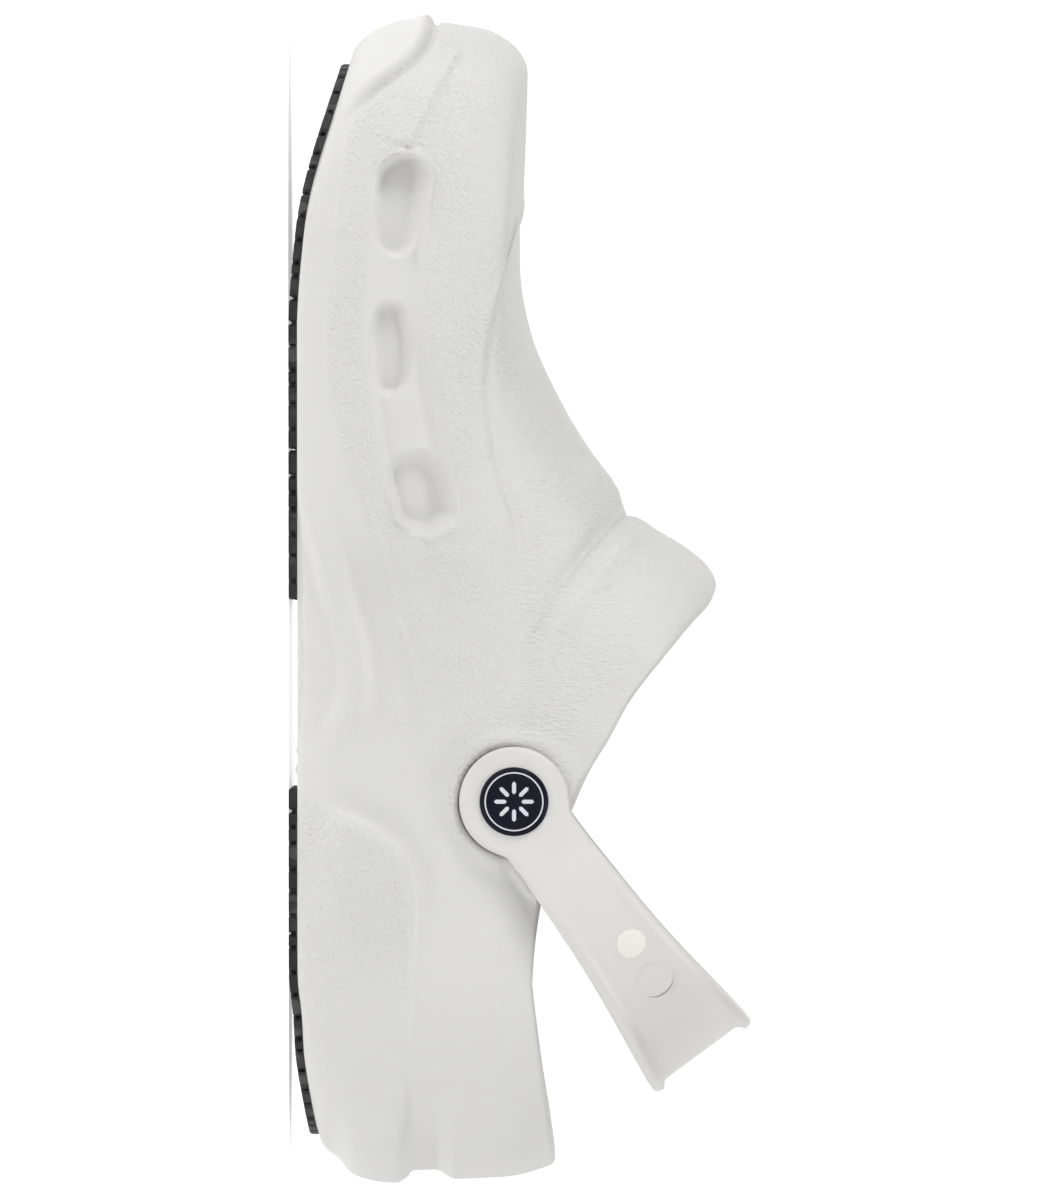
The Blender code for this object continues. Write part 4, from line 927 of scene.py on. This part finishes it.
def pod_plate(span):
    """Plate as a closed band of rings: each ring goes round the pod's section at one place along the foot."""
    places, inner, outer = pod_edge(span, 60, POD_MARGIN)
    share = np.linspace(0.0, 1.0, 9)
    lower = outer[:, None] + (inner - outer)[:, None] * share
    base = underside(places / LENGTH + 0.5)[:, None] + np.zeros((1, 9))
    y = places[:, None] + np.zeros((1, 9))
    under = np.stack((lower, y, base - POD_PROUD), -1)
    over = np.stack((lower, y, base + POD_THICKNESS), -1)[:, ::-1]
    rings = np.concatenate((under, over), 1)[:, ::-1]
    return rings, rings[0].mean(0), rings[-1].mean(0)


def lug_blocks(x, y, half_x, half_y, turn):
    """Chamfered blocks from centres, half sizes and turns: eight corners in plan at three heights."""
    cut = LUG_CORNER
    corner = np.array([(1, cut), (cut, 1), (-cut, 1), (-1, cut), (-1, -cut), (-cut, -1), (cut, -1), (1, -cut)])
    shrink = np.array((1.0, 1.0, LUG_TAPER))
    plan = corner[None, None] * shrink[None, :, None, None] * np.stack((half_x, half_y), -1)[:, None, None]
    cosine, sine = np.cos(turn)[:, None, None], np.sin(turn)[:, None, None]
    world_x = x[:, None, None] + plan[..., 0] * cosine - plan[..., 1] * sine
    world_y = y[:, None, None] + plan[..., 0] * sine + plan[..., 1] * cosine
    base = underside(y / LENGTH + 0.5)[:, None, None]
    drop = np.array((-LUG_ROOT, TREAD_DEPTH - LUG_CHAMFER, TREAD_DEPTH))[None, :, None]
    world_z = underside(world_y / LENGTH + 0.5) * (drop > 0) + base * (drop <= 0) - drop
    vertices = np.stack((world_x, world_y, world_z + np.zeros_like(world_x)), -1).reshape(-1, 3)
    around, after = np.arange(8), (np.arange(8) + 1) % 8
    sides = np.concatenate([np.stack((level * 8 + around, (level + 1) * 8 + around, (level + 1) * 8 + after,
                                      level * 8 + after), -1) for level in range(2)])
    lids = np.stack((around, 16 + around[::-1]))
    offset = np.arange(len(x))[:, None, None] * 24
    loops = np.concatenate(((sides[None] + offset).ravel(), (lids[None] + offset).ravel()))
    sizes = np.concatenate((np.full(len(x) * 16, 4), np.full(len(x) * 2, 8)))
    return vertices, loops, np.concatenate(([0], np.cumsum(sizes)[:-1]))


def pod_lugs(span):
    """Centres of border lugs, one pitch apart along both edges, and of inner lugs on a staggered grid."""
    places, inner, outer = pod_edge(span, 400, POD_MARGIN + EDGE_LUG_DEPTH / 2)
    parts = []
    for edge, side in ((inner, 1), (outer, -1)):
        length = np.concatenate(([0.0], np.cumsum(np.hypot(np.diff(edge), np.diff(places)))))
        count = round(length[-1] / EDGE_LUG)
        size = (1 + LUG_VARIATION * np.sin(np.arange(count) * 2.399 + side)
                + LUG_VARIATION * np.sin(np.arange(count) * 5.1))
        ends = np.concatenate(([0.0], np.cumsum(size))) * length[-1] / size.sum()
        at = (ends[1:] + ends[:-1]) / 2
        x, y = np.interp(at, length, edge), np.interp(at, length, places)
        slope = np.interp(at, length, np.gradient(edge, places))
        half_y = np.diff(ends) / 2 - LUG_GAP / 2
        parts.append((x, y, np.full(count, EDGE_LUG_DEPTH / 2), half_y, -np.arctan(slope)))
    start, end = places[0], places[-1]
    rows = np.arange(round((end - start) / LUG_ROW))
    step = (end - start) / len(rows)
    row, column = (part.ravel() for part in np.meshgrid(rows, np.arange(-9, 10), indexing="ij"))
    y = start + (row + 0.5) * step
    x = (column + 0.5 * (row % 2)) * LUG_COLUMN
    clear = EDGE_LUG_DEPTH / 2 + LUG_COLUMN / 2 + LUG_GAP
    keep = (x < np.interp(y, places, inner) - clear) & (x > np.interp(y, places, outer) + clear)
    count = int(keep.sum())
    tilt = np.where(row[keep] % 2 == 0, LUG_TURN, -LUG_TURN)
    parts.append((x[keep], y[keep], np.full(count, LUG_COLUMN * 0.40), np.full(count, LUG_ROW * 0.36), tilt))
    return [np.concatenate(column) for column in zip(*parts)]


def tread_rubber():
    """Matt black rubber with a faint dusting of grey where faces are worn or talced by the mould."""
    made, shader, spot = finish_start("black_tread_rubber")
    dust = spot.noise(160.0, 3.0, 0.6).between(0.5, 0.75)
    patch = spot.stretched((90.0, 170.0, 90.0)).noise(1.0, 1.0, 0.5).between(0.58, 0.64)
    connect(mixed(0.35 * dust + 0.65 * patch, *RUBBER_TONES), shader, "Base Color")
    connect(0.42 + 0.3 * spot.noise(420.0, 2.0, 0.6), shader, "Roughness")
    set_bump(shader, spot.noise(2400.0, 3.0, 0.6), 0.00008, 0.5)
    return made


def merge_meshes(name, parts):
    """One mesh from several (vertices, loops, starts)."""
    vertices, loops, starts, points, corners = [], [], [], 0, 0
    for part_vertices, part_loops, part_starts in parts:
        vertices.append(part_vertices)
        loops.append(part_loops + points)
        starts.append(part_starts + corners)
        points += len(part_vertices)
        corners += len(part_loops)
    return fill_mesh(name, np.vstack(vertices), np.concatenate(loops), np.concatenate(starts))


def mesh_arrays(mesh):
    """Vertices, face corners and face starts of a mesh, as merge_meshes takes them."""
    vertices = np.empty(len(mesh.vertices) * 3, np.float32)
    mesh.vertices.foreach_get("co", vertices)
    loops, starts = np.empty(len(mesh.loops), np.int32), np.empty(len(mesh.polygons), np.int32)
    mesh.loops.foreach_get("vertex_index", loops)
    mesh.polygons.foreach_get("loop_start", starts)
    return vertices.reshape(-1, 3), loops, starts


rubber_finish = tread_rubber()
for pod, pod_span in POD_SPANS.items():
    plate_rings, plate_front, plate_back = pod_plate(pod_span)
    plate = grid_mesh(f"tread_{pod}_plate", plate_rings, plate_front, plate_back)
    tread = merge_meshes(f"tread_{pod}", [mesh_arrays(plate), lug_blocks(*pod_lugs(pod_span))])
    tread.set_sharp_from_angle(angle=math.radians(30))
    tread.materials.append(rubber_finish)
    place(f"tread_{pod}", tread, "tread_rubber", f"outsole_{pod}")

# Heel strap. One moulded band of slightly warmer white foam, with a round boss at each end that turns on a
# rivet. Its outer face is sunk between two rounded borders, more and more towards the back.
STRAP_TILT = math.radians(36.4)
STRAP_REACH = 0.078
BOSS_THICKNESS = 0.0058
STRAP_THICKNESS = 0.0046
STRAP_NECK = 0.0192
STRAP_MIDDLE = 0.0224
STRAP_BACK = 0.0300
STRAP_EDGE = 0.0015
STRAP_STRAIGHT = 0.004
STRAP_SQUARE = 2.25
CLEARANCE = 0.0003
PANEL_BORDER = 0.0034
PANEL_SIDE_DEPTH = 0.0002
PANEL_BACK_DEPTH = 0.0016
PANEL_RIM = 0.0003
STRAP_TONES = ((0.652, 0.645, 0.627, 1.0), (0.679, 0.672, 0.654, 1.0))
strap_back = np.array((0.0, math.cos(STRAP_TILT), math.sin(STRAP_TILT)))
strap_up = np.array((0.0, -math.sin(STRAP_TILT), math.cos(STRAP_TILT)))
pivot = np.array((0.0, PIVOT_ALONG - HALF_LENGTH, PIVOT_HEIGHT))


def strap_rows():
    """Half of the strap, boss tip to middle of the back: reach from the pivot, X, half-width, thickness, panel.

    The boss is a circle about the pivot; behind it the run is straight and then follows the squared oval
    x^2.25 + y^2.25 = 1. The half-width is the soft maximum of the circle and the band.
    """
    outer_x = STRAP_SEAT + CLEARANCE + BOSS_THICKNESS
    straight = BOSS_RADIUS + STRAP_STRAIGHT
    tip = -BOSS_RADIUS * np.cos(np.linspace(0.02, math.pi / 2, 26))
    run = np.linspace(0.0, straight, 30)[1:]
    bend = np.linspace(0.0, math.pi / 2, 72)[1:]
    power = 2 / STRAP_SQUARE
    reach = np.concatenate((tip, run, straight + (STRAP_REACH - straight) * np.sin(bend) ** power))
    squeeze = np.concatenate((np.ones(len(tip) + len(run)), np.maximum(np.cos(bend), 0.0) ** power))
    toward_band = ease(reach, BOSS_RADIUS * 0.72, BOSS_RADIUS * 1.2)
    thick = BOSS_THICKNESS + (STRAP_THICKNESS - BOSS_THICKNESS) * toward_band
    x = (outer_x - thick / 2) * squeeze
    circle = np.sqrt(np.maximum(BOSS_RADIUS ** 2 - reach ** 2, 0.0))
    way = np.clip((reach - straight) / (STRAP_REACH - straight), 0.0, 1.0)
    band = fair((0.0, 0.5, 1.0), (STRAP_NECK / 2, STRAP_MIDDLE / 2, STRAP_BACK / 2), way)
    blend = 0.0007
    both = blend * np.log(np.exp(circle / blend) + np.exp(band / blend))
    half = np.where(reach > 0.2 * BOSS_RADIUS, both, circle)
    panel = (PANEL_SIDE_DEPTH * ease(reach, 0.024, 0.034)
             + (PANEL_BACK_DEPTH - PANEL_SIDE_DEPTH) * ease(way, 0.55, 0.95))
    return np.stack((reach, x, half, thick, panel), -1)


def strap_profile(half, thick, panel):
    """Section of the strap: a rounded oblong whose outer side is sunk between its borders.

    Returns offsets outward and upward, for each row of half-width, thickness and panel depth.
    """
    corner = np.minimum(STRAP_EDGE, half * 0.8)
    quarter = np.linspace(0.0, math.pi / 2, 7)
    spread = np.linspace(-1.0, 1.0, 31)[1:-1]
    out, up = [], []

    def add_corner(out_side, up_side, out_shares, up_shares):
        """Quarter circle at one corner, from the shares of its radius that it lies outward and upward."""
        for out_share, up_share in zip(out_shares, up_shares):
            out.append(out_side * (thick / 2 - corner + corner * out_share))
            up.append(up_side * (half - corner + corner * up_share))

    add_corner(1, -1, np.cos(math.pi / 2 - quarter), np.sin(math.pi / 2 - quarter))
    for share in spread:
        level = share * (half - corner)
        edge_gap = half - np.abs(level)
        out.append(thick / 2 - panel * ease(edge_gap, PANEL_BORDER - 0.0012, PANEL_BORDER + 0.0006)
                   + PANEL_RIM * bell(edge_gap - PANEL_BORDER * 0.5, 0.0011) * (panel > 0))
        up.append(level)
    add_corner(1, 1, np.cos(quarter), np.sin(quarter))
    add_corner(-1, 1, np.sin(quarter), np.cos(quarter))
    for share in np.linspace(1.0, -1.0, 9)[1:-1]:
        out.append(-thick / 2)
        up.append(share * (half - corner))
    add_corner(-1, -1, np.cos(quarter), np.sin(quarter))
    return np.stack(out, 1), np.stack(up, 1)


def strap_points():
    """The section carried from one boss round the heel to the other, square to its path."""
    half = strap_rows()
    other = half[-2::-1] * np.array((1, -1, 1, 1, 1))
    rows = np.concatenate((half, other))
    heading = np.gradient(rows[:, :2], axis=0)
    heading /= np.linalg.norm(heading, axis=1, keepdims=True)
    straight = rows[:, 0] <= BOSS_RADIUS
    heading[straight] = np.stack((np.sign(rows[straight, 1]), np.zeros(straight.sum())), -1)
    across_x = np.array((1.0, 0.0, 0.0))
    out = heading[:, 0:1] * across_x - strap_back * heading[:, 1:2]
    middle = pivot + rows[:, 1:2] * across_x + rows[:, 0:1] * strap_back
    offset, up = strap_profile(rows[:, 2], rows[:, 3], rows[:, 4])
    return middle[:, None] + out[:, None] * offset[..., None] + strap_up * up[..., None]


def strap_foam():
    """Satin foam, a little warmer than the body, with only the faintest texture."""
    made, shader, spot = finish_start("strap_foam_finish")
    tint = spot.noise(18.0, 2.0, 0.5).between(0.3, 0.7)
    connect(mixed(tint, *STRAP_TONES), shader, "Base Color")
    connect(0.40 + 0.12 * spot.noise(240.0, 2.0, 0.5), shader, "Roughness")
    set_bump(shader, spot.noise(1300.0, 3.0, 0.6), 0.00007, 0.4)
    return made


strap_grid = strap_points()
strap_mesh = grid_mesh("strap_band", strap_grid, strap_grid[0].mean(0), strap_grid[-1].mean(0))
strap_mesh.flip_normals()
strap_finish = strap_foam()
strap_mesh.materials.append(strap_finish)
place("strap_band", strap_mesh, "strap_foam", "heel_strap")

# Sticker. A small round label of cream paper is stuck on the strap's face, on the inner side of the shoe. It is
# a thin disc with a worn edge, and nothing is printed on it.
STICKER_RADIUS = 0.0037
STICKER_THICKNESS = 0.00015
STICKER_REACH = 0.0448
STICKER_UP = 0.0025
STICKER_SUNK = 0.0003
FACE_STEP = 0.002
PAPER_TONES = ((0.78, 0.77, 0.70, 1.0), (0.81, 0.80, 0.74, 1.0))


def strap_face(reach, rise):
    """Point of the strap's outer face on the shoe's inner side, with its outward and backward directions.

    It lies half a thickness less the panel's depth out from the strap's middle, at a reach from the pivot.
    """
    rows = strap_rows()
    x = np.interp(reach, rows[:, 0], rows[:, 1])
    after, before = (np.interp(reach + step, rows[:, 0], rows[:, 1]) for step in (FACE_STEP, -FACE_STEP))
    slope = (after - before) / (2 * FACE_STEP)
    back = strap_back + np.array((slope, 0.0, 0.0))
    back /= np.linalg.norm(back)
    out = np.cross(back, strap_up)
    out *= np.sign(out[0])
    depth = float(np.interp(reach, rows[:, 0], rows[:, 4]))
    middle = pivot + strap_back * reach + strap_up * rise + np.array((x, 0, 0))
    return middle + out * (STRAP_THICKNESS / 2 - depth), out, back


def disc_points(centre, out, back, profile, count=64):
    """Turned rings about a line: each (height along the line, radius) of the profile gives one ring."""
    turn = np.arange(count) * 2 * math.pi / count
    side = np.cross(out, back)
    circle = np.cos(turn)[:, None] * back + np.sin(turn)[:, None] * side
    profile = np.asarray(profile, float)
    return centre + profile[:, 0, None, None] * out + profile[:, 1, None, None] * circle[None]


sticker_centre, sticker_out, sticker_back = strap_face(STICKER_REACH, STICKER_UP)
sticker_rings = disc_points(sticker_centre, sticker_out, sticker_back, (
    (-STICKER_SUNK, STICKER_RADIUS), (STICKER_THICKNESS * 0.7, STICKER_RADIUS),
    (STICKER_THICKNESS, STICKER_RADIUS * 0.98), (STICKER_THICKNESS, STICKER_RADIUS * 0.5)))
sticker_mesh = grid_mesh("size_sticker", sticker_rings, sticker_centre - STICKER_SUNK * sticker_out,
                         sticker_centre + STICKER_THICKNESS * sticker_out)
sticker_finish, sticker_shader, sticker_spot = finish_start("cream_label_paper")
connect(mixed(sticker_spot.noise(900.0, 3.0, 0.6), *PAPER_TONES), sticker_shader, "Base Color")
connect(0.35 + 0.2 * sticker_spot.noise(500.0, 2.0, 0.5), sticker_shader, "Roughness")
sticker_mesh.materials.append(sticker_finish)
place("size_sticker", sticker_mesh, "strap_foam")

# Mould mark. A thin raised circle stands on the strap's face behind the sticker, where the mould had a plug. It
# is of the strap's own foam, moulded in one with the band.
MARK_REACH = 0.0556
MARK_UP = 0.0019
MARK_RADIUS = 0.0050
MARK_WIDTH = 0.0006
MARK_HEIGHT = 0.00010
MARK_CORNERS = 8


def tube_mesh(name, points):
    """Mesh of closed rings whose last ring joins the first, so that the rings' sections close too."""
    levels, count = points.shape[:2]
    level, index = np.meshgrid(np.arange(levels), np.arange(count), indexing="ij")
    onward, following = (level + 1) % levels, (index + 1) % count
    faces = np.stack((level * count + index, level * count + following,
                      onward * count + following, onward * count + index), -1).reshape(-1, 4)
    return fill_mesh(name, points.reshape(-1, 3), faces.ravel(), np.arange(len(faces)) * 4)


mark_centre, mark_out, mark_back = strap_face(MARK_REACH, MARK_UP)
mark_turn = np.arange(MARK_CORNERS) * 2 * math.pi / MARK_CORNERS
mark_profile = np.stack((MARK_HEIGHT * np.sin(mark_turn),
                         MARK_RADIUS + MARK_WIDTH / 2 * np.cos(mark_turn)), -1)
mark_rings = disc_points(mark_centre, mark_out, mark_back, mark_profile, 72)
mark_mesh = tube_mesh("moulded_circle", mark_rings)
mark_mesh.materials.append(strap_finish)
place("moulded_circle", mark_mesh, "strap_foam")

# Rivets. A white plastic snap rivet goes through each boss and the body's wall. Its head lies sunk in the boss,
# under the button, and a round flange holds it inside the shoe.
RIVET_RADIUS = 0.0035
RIVET_HEAD_RADIUS = 0.0065
RIVET_HEAD_TOP_RADIUS = 0.0060
RIVET_HEAD_THICKNESS = 0.0010
RIVET_FLANGE_RADIUS = 0.0070
RIVET_FLANGE_THICKNESS = 0.0014
FLANGE_ROUND = 0.0005
RIVET_TONES = ((0.74, 0.74, 0.72, 1.0), (0.79, 0.79, 0.77, 1.0))


def turned_about_pivot(name, profile, side):
    """Closed solid of revolution about the strap's axis, from (distance out along X, radius) pairs."""
    profile = np.asarray(profile, float)
    centre = pivot * np.array((0.0, 1.0, 1.0))
    out, back = np.array((float(side), 0.0, 0.0)), np.array((0.0, 1.0, 0.0))
    rings = disc_points(centre, out, back, profile, 96)
    mesh = grid_mesh(name, rings, centre + profile[0, 0] * out, centre + profile[-1, 0] * out)
    mesh.flip_normals()
    return mesh


def rivet_plastic():
    """Satin white plastic with a faint unevenness."""
    made, shader, spot = finish_start("rivet_white_plastic")
    connect(mixed(spot.noise(40.0, 2.0, 0.5), *RIVET_TONES), shader, "Base Color")
    connect(0.28 + 0.14 * spot.noise(300.0, 2.0, 0.5), shader, "Roughness")
    return made


rivet_finish = rivet_plastic()
head_floor = STRAP_SEAT + CLEARANCE + BOSS_THICKNESS / 2
for side_sign, side_word in ((1, "inner"), (-1, "outer")):
    low_corner, high_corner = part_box(f"rivet_{side_word}")
    flange_in = min(abs(low_corner[0]), abs(high_corner[0]))
    flange_out = flange_in + RIVET_FLANGE_THICKNESS
    rivet_mesh = turned_about_pivot(f"snap_rivet_{side_word}", (
        (head_floor + RIVET_HEAD_THICKNESS, RIVET_HEAD_TOP_RADIUS), (head_floor, RIVET_HEAD_RADIUS),
        (head_floor, RIVET_RADIUS), (flange_out, RIVET_RADIUS), (flange_out, RIVET_FLANGE_RADIUS),
        (flange_in + FLANGE_ROUND, RIVET_FLANGE_RADIUS),
        (flange_in, RIVET_FLANGE_RADIUS - FLANGE_ROUND)), side_sign)
    rivet_mesh.set_sharp_from_angle(angle=math.radians(40))
    rivet_mesh.materials.append(rivet_finish)
    place(f"snap_rivet_{side_word}", rivet_mesh, "rivet_plastic", f"rivet_{side_word}")

# Buttons. A blue-black plastic cap snaps into each boss over the rivet's head. It has a glossy bevelled edge,
# and a thin pale ring is set into its face round a plain rosette of short bars.
BUTTON_RADIUS = 0.00857
BUTTON_THICKNESS = 0.0024
BUTTON_TOP = head_floor + RIVET_HEAD_THICKNESS + CLEARANCE + BUTTON_THICKNESS
BUTTON_PROFILE = ((0.0, 0.0040), (0.0, 0.0066), (0.0001, 0.0078), (0.0, 0.0080), (-0.0004, 0.0084),
                  (-0.0009, BUTTON_RADIUS), (-BUTTON_THICKNESS, BUTTON_RADIUS))
RING_RADIUS = 0.0072
RING_WIDTH = 0.00046
RING_PROUD = 0.00006
INLAY_SUNK = 0.0002
ROSETTE_BARS = 8
ROSETTE_INNER = 0.0018
ROSETTE_OUTER = 0.0050
BAR_HALF_WIDTH = 0.0005
BUTTON_TONES = ((0.006, 0.007, 0.012, 1.0), (0.012, 0.014, 0.024, 1.0))
INLAY_TONES = ((0.60, 0.60, 0.66, 1.0), (0.68, 0.68, 0.72, 1.0))


def button_plastic():
    """Blue-black plastic, smooth and a little glossy."""
    made, shader, spot = finish_start("button_black_plastic")
    connect(mixed(spot.noise(200.0, 2.0, 0.5), *BUTTON_TONES), shader, "Base Color")
    connect(0.24 + 0.12 * spot.noise(500.0, 2.0, 0.5), shader, "Roughness")
    shader.inputs["Specular IOR Level"].default_value = 0.08
    return made


def pale_inlay():
    """Pale bluish plastic of the ring and the rosette."""
    made, shader, spot = finish_start("pale_inlay_plastic")
    connect(mixed(spot.noise(300.0, 2.0, 0.5), *INLAY_TONES), shader, "Base Color")
    connect(0.3 + 0.1 * spot.noise(600.0, 2.0, 0.5), shader, "Roughness")
    return made


def rosette_arrays(side):
    """Bars as flat six-sided blocks on rays about the pivot, in the button's face."""
    ray = np.arange(ROSETTE_BARS) * 2 * math.pi / ROSETTE_BARS
    near, far = ROSETTE_INNER + BAR_HALF_WIDTH, ROSETTE_OUTER - BAR_HALF_WIDTH
    length = np.array((ROSETTE_INNER, near, far, ROSETTE_OUTER, far, near))
    width = np.array((0.0, 1.0, 1.0, 0.0, -1.0, -1.0)) * BAR_HALF_WIDTH
    back = length * np.cos(ray)[:, None] - width * np.sin(ray)[:, None]
    up = length * np.sin(ray)[:, None] + width * np.cos(ray)[:, None]
    levels = np.array((BUTTON_TOP - INLAY_SUNK, BUTTON_TOP + RING_PROUD))[None, :, None]
    x = side * (levels + np.zeros((ROSETTE_BARS, 1, 6)))
    y = pivot[1] + back[:, None] + np.zeros_like(x)
    z = pivot[2] + up[:, None] + np.zeros_like(x)
    vertices = np.stack((x, y, z), -1).reshape(-1, 3)
    around, after = np.arange(6), (np.arange(6) + 1) % 6
    sides = np.stack((around, after, 6 + after, 6 + around), -1)
    lids = np.stack((around[::-1], 6 + around))
    if side > 0:
        sides, lids = sides[:, ::-1], lids[:, ::-1]
    offset = np.arange(ROSETTE_BARS)[:, None, None] * 12
    loops = np.concatenate(((sides[None] + offset).ravel(), (lids[None] + offset).ravel()))
    sizes = np.concatenate((np.full(ROSETTE_BARS * 6, 4), np.full(ROSETTE_BARS * 2, 6)))
    return vertices, loops, np.concatenate(([0], np.cumsum(sizes)[:-1]))


button_finish, inlay_finish = button_plastic(), pale_inlay()
ring_in, ring_out = RING_RADIUS - RING_WIDTH / 2, RING_RADIUS + RING_WIDTH / 2
ring_low, ring_high = BUTTON_TOP - INLAY_SUNK, BUTTON_TOP + RING_PROUD
for side_sign, side_word in ((1, "inner"), (-1, "outer")):
    cap = turned_about_pivot(f"rivet_button_{side_word}",
                             [(BUTTON_TOP + rise, radius) for rise, radius in BUTTON_PROFILE], side_sign)
    cap.materials.append(button_finish)
    place(f"rivet_button_{side_word}", cap, "button_plastic", f"button_{side_word}")
    ring = turned_about_pivot("ring", ((ring_low, ring_in), (ring_high, ring_in), (ring_high, ring_out),
                                       (ring_low, ring_out)), side_sign)
    inlay = merge_meshes(f"button_inlay_{side_word}", [mesh_arrays(ring), rosette_arrays(side_sign)])
    inlay.set_sharp_from_angle(angle=math.radians(30))
    inlay.materials.append(inlay_finish)
    place(f"button_inlay_{side_word}", inlay, "button_plastic")

# Studio. The shoe stands on a plain white sweep in soft light, and the camera looks at its inner side from a
# level close to the floor, rolled by a quarter turn so that the toe points up in the picture.
FLOOR_RISE = 1.4
FLOOR_REACH = 3.0
SWEEP_BACK = 0.9
SWEEP_RADIUS = 0.6
SWEEP_TONES = ((0.90, 0.90, 0.90, 1.0), (0.92, 0.92, 0.92, 1.0))
# Glow of the sweep, painted light: about half strength under the shoe and on the backdrop, full on the floor
# towards the camera.
SWEEP_GLOW = ((0.46, 0.46, 0.46, 1.0), (1.05, 1.05, 1.05, 1.0))
LIGHT_AIM = (0.0, 0.0, 0.04)
WORLD_STRENGTH = 0.14
CAMERA_DISTANCE = 5.0
CAMERA_HEIGHT = 0.0575
FRAME_TALL = 0.300
SENSOR = 36.0


def sweep_mesh():
    """Floor and backdrop in one sheet: flat, then a quarter circle up, carried straight across."""
    turn = np.linspace(0.0, math.pi / 2, 13)
    curve = np.stack((-SWEEP_BACK - SWEEP_RADIUS * np.sin(turn), SWEEP_RADIUS * (1 - np.cos(turn))), -1)
    profile = np.concatenate((((FLOOR_REACH, 0.0),), curve,
                              ((-SWEEP_BACK - SWEEP_RADIUS, FLOOR_RISE + SWEEP_RADIUS),)))
    across_y = np.array((-FLOOR_REACH, FLOOR_REACH))
    points = np.stack((np.repeat(profile[:, :1], 2, 1), np.tile(across_y, (len(profile), 1)),
                       np.repeat(profile[:, 1:], 2, 1)), -1)
    level = np.arange(len(profile) - 1)[:, None] * 2
    faces = level + np.array((0, 1, 3, 2))
    return fill_mesh("studio_sweep", points.reshape(-1, 3), faces.ravel(), np.arange(len(faces)) * 4)


def soft_box(name, place_at, size, power):
    """Square soft light that faces the shoe."""
    light = bpy.data.lights.new(name, "AREA")
    light.shape = "SQUARE"
    light.size = size
    light.energy = power
    lamp = bpy.data.objects.new(name, light)
    bpy.context.scene.collection.objects.link(lamp)
    aim = (Vector(LIGHT_AIM) - Vector(place_at)).to_track_quat("-Z", "Y").to_matrix().to_4x4()
    lamp.matrix_world = Matrix.Translation(place_at) @ aim


sweep = sweep_mesh()
floor_finish, floor_shader, floor_spot = finish_start("studio_paper")
connect(mixed(floor_spot.noise(3.0, 2.0, 0.5), *SWEEP_TONES), floor_shader, "Base Color")
connect(0.8 + 0.05 * floor_spot.noise(20.0, 2.0, 0.5), floor_shader, "Roughness")
# Painted light: the sweep glows of itself, more on the floor towards the camera than under the shoe and on the
# backdrop.
near_camera = floor_spot.node("ShaderNodeSeparateXYZ", {}, {0: floor_spot}, output=0).between(0.8, 1.6)
connect(mixed(near_camera, *SWEEP_GLOW), floor_shader, "Emission Color")
floor_shader.inputs["Emission Strength"].default_value = 1.0
from_behind = floor_spot.node("ShaderNodeNewGeometry", {}, {}, output="Backfacing")
see_through = floor_spot.node("ShaderNodeBsdfTransparent", {}, {})
front_face = Signal(floor_spot.tree, floor_shader.outputs["BSDF"])
paper = from_behind.node("ShaderNodeMixShader", {}, {0: from_behind, 1: front_face, 2: see_through})
paper.tree.links.new(paper.socket, paper.tree.nodes["Material Output"].inputs["Surface"])
sweep.materials.append(floor_finish)
floor = bpy.data.objects.new("studio_sweep", sweep)
bpy.context.scene.collection.objects.link(floor)

soft_box("key_over_toe", (0.60, -1.25, 0.50), 0.40, 9.4)
soft_box("fill_by_camera", (1.5, 0.6, 0.6), 1.2, 0.6)
soft_box("heel_wash", (0.6, 1.4, 0.6), 0.9, 3.6)
soft_box("top_wash", (0.65, 0.35, 1.40), 0.8, 11.6)

world = bpy.data.worlds.new("studio_world")
world.use_nodes = True
world.node_tree.nodes["Background"].inputs["Color"].default_value = (1.0, 1.0, 1.0, 1.0)
world.node_tree.nodes["Background"].inputs["Strength"].default_value = WORLD_STRENGTH
bpy.context.scene.world = world
bpy.context.scene.view_settings.view_transform = "Standard"

camera_data = bpy.data.cameras.new("side_camera")
camera_data.sensor_width = SENSOR
camera_data.lens = SENSOR * CAMERA_DISTANCE / FRAME_TALL
camera = bpy.data.objects.new("side_camera", camera_data)
bpy.context.scene.collection.objects.link(camera)
right, up, behind = (0.0, 0.0, 1.0), (0.0, -1.0, 0.0), (1.0, 0.0, 0.0)
camera.matrix_world = Matrix.Translation((CAMERA_DISTANCE, 0.0, CAMERA_HEIGHT)) @ Matrix(
    (right, up, behind)).transposed().to_4x4()
bpy.context.scene.camera = camera
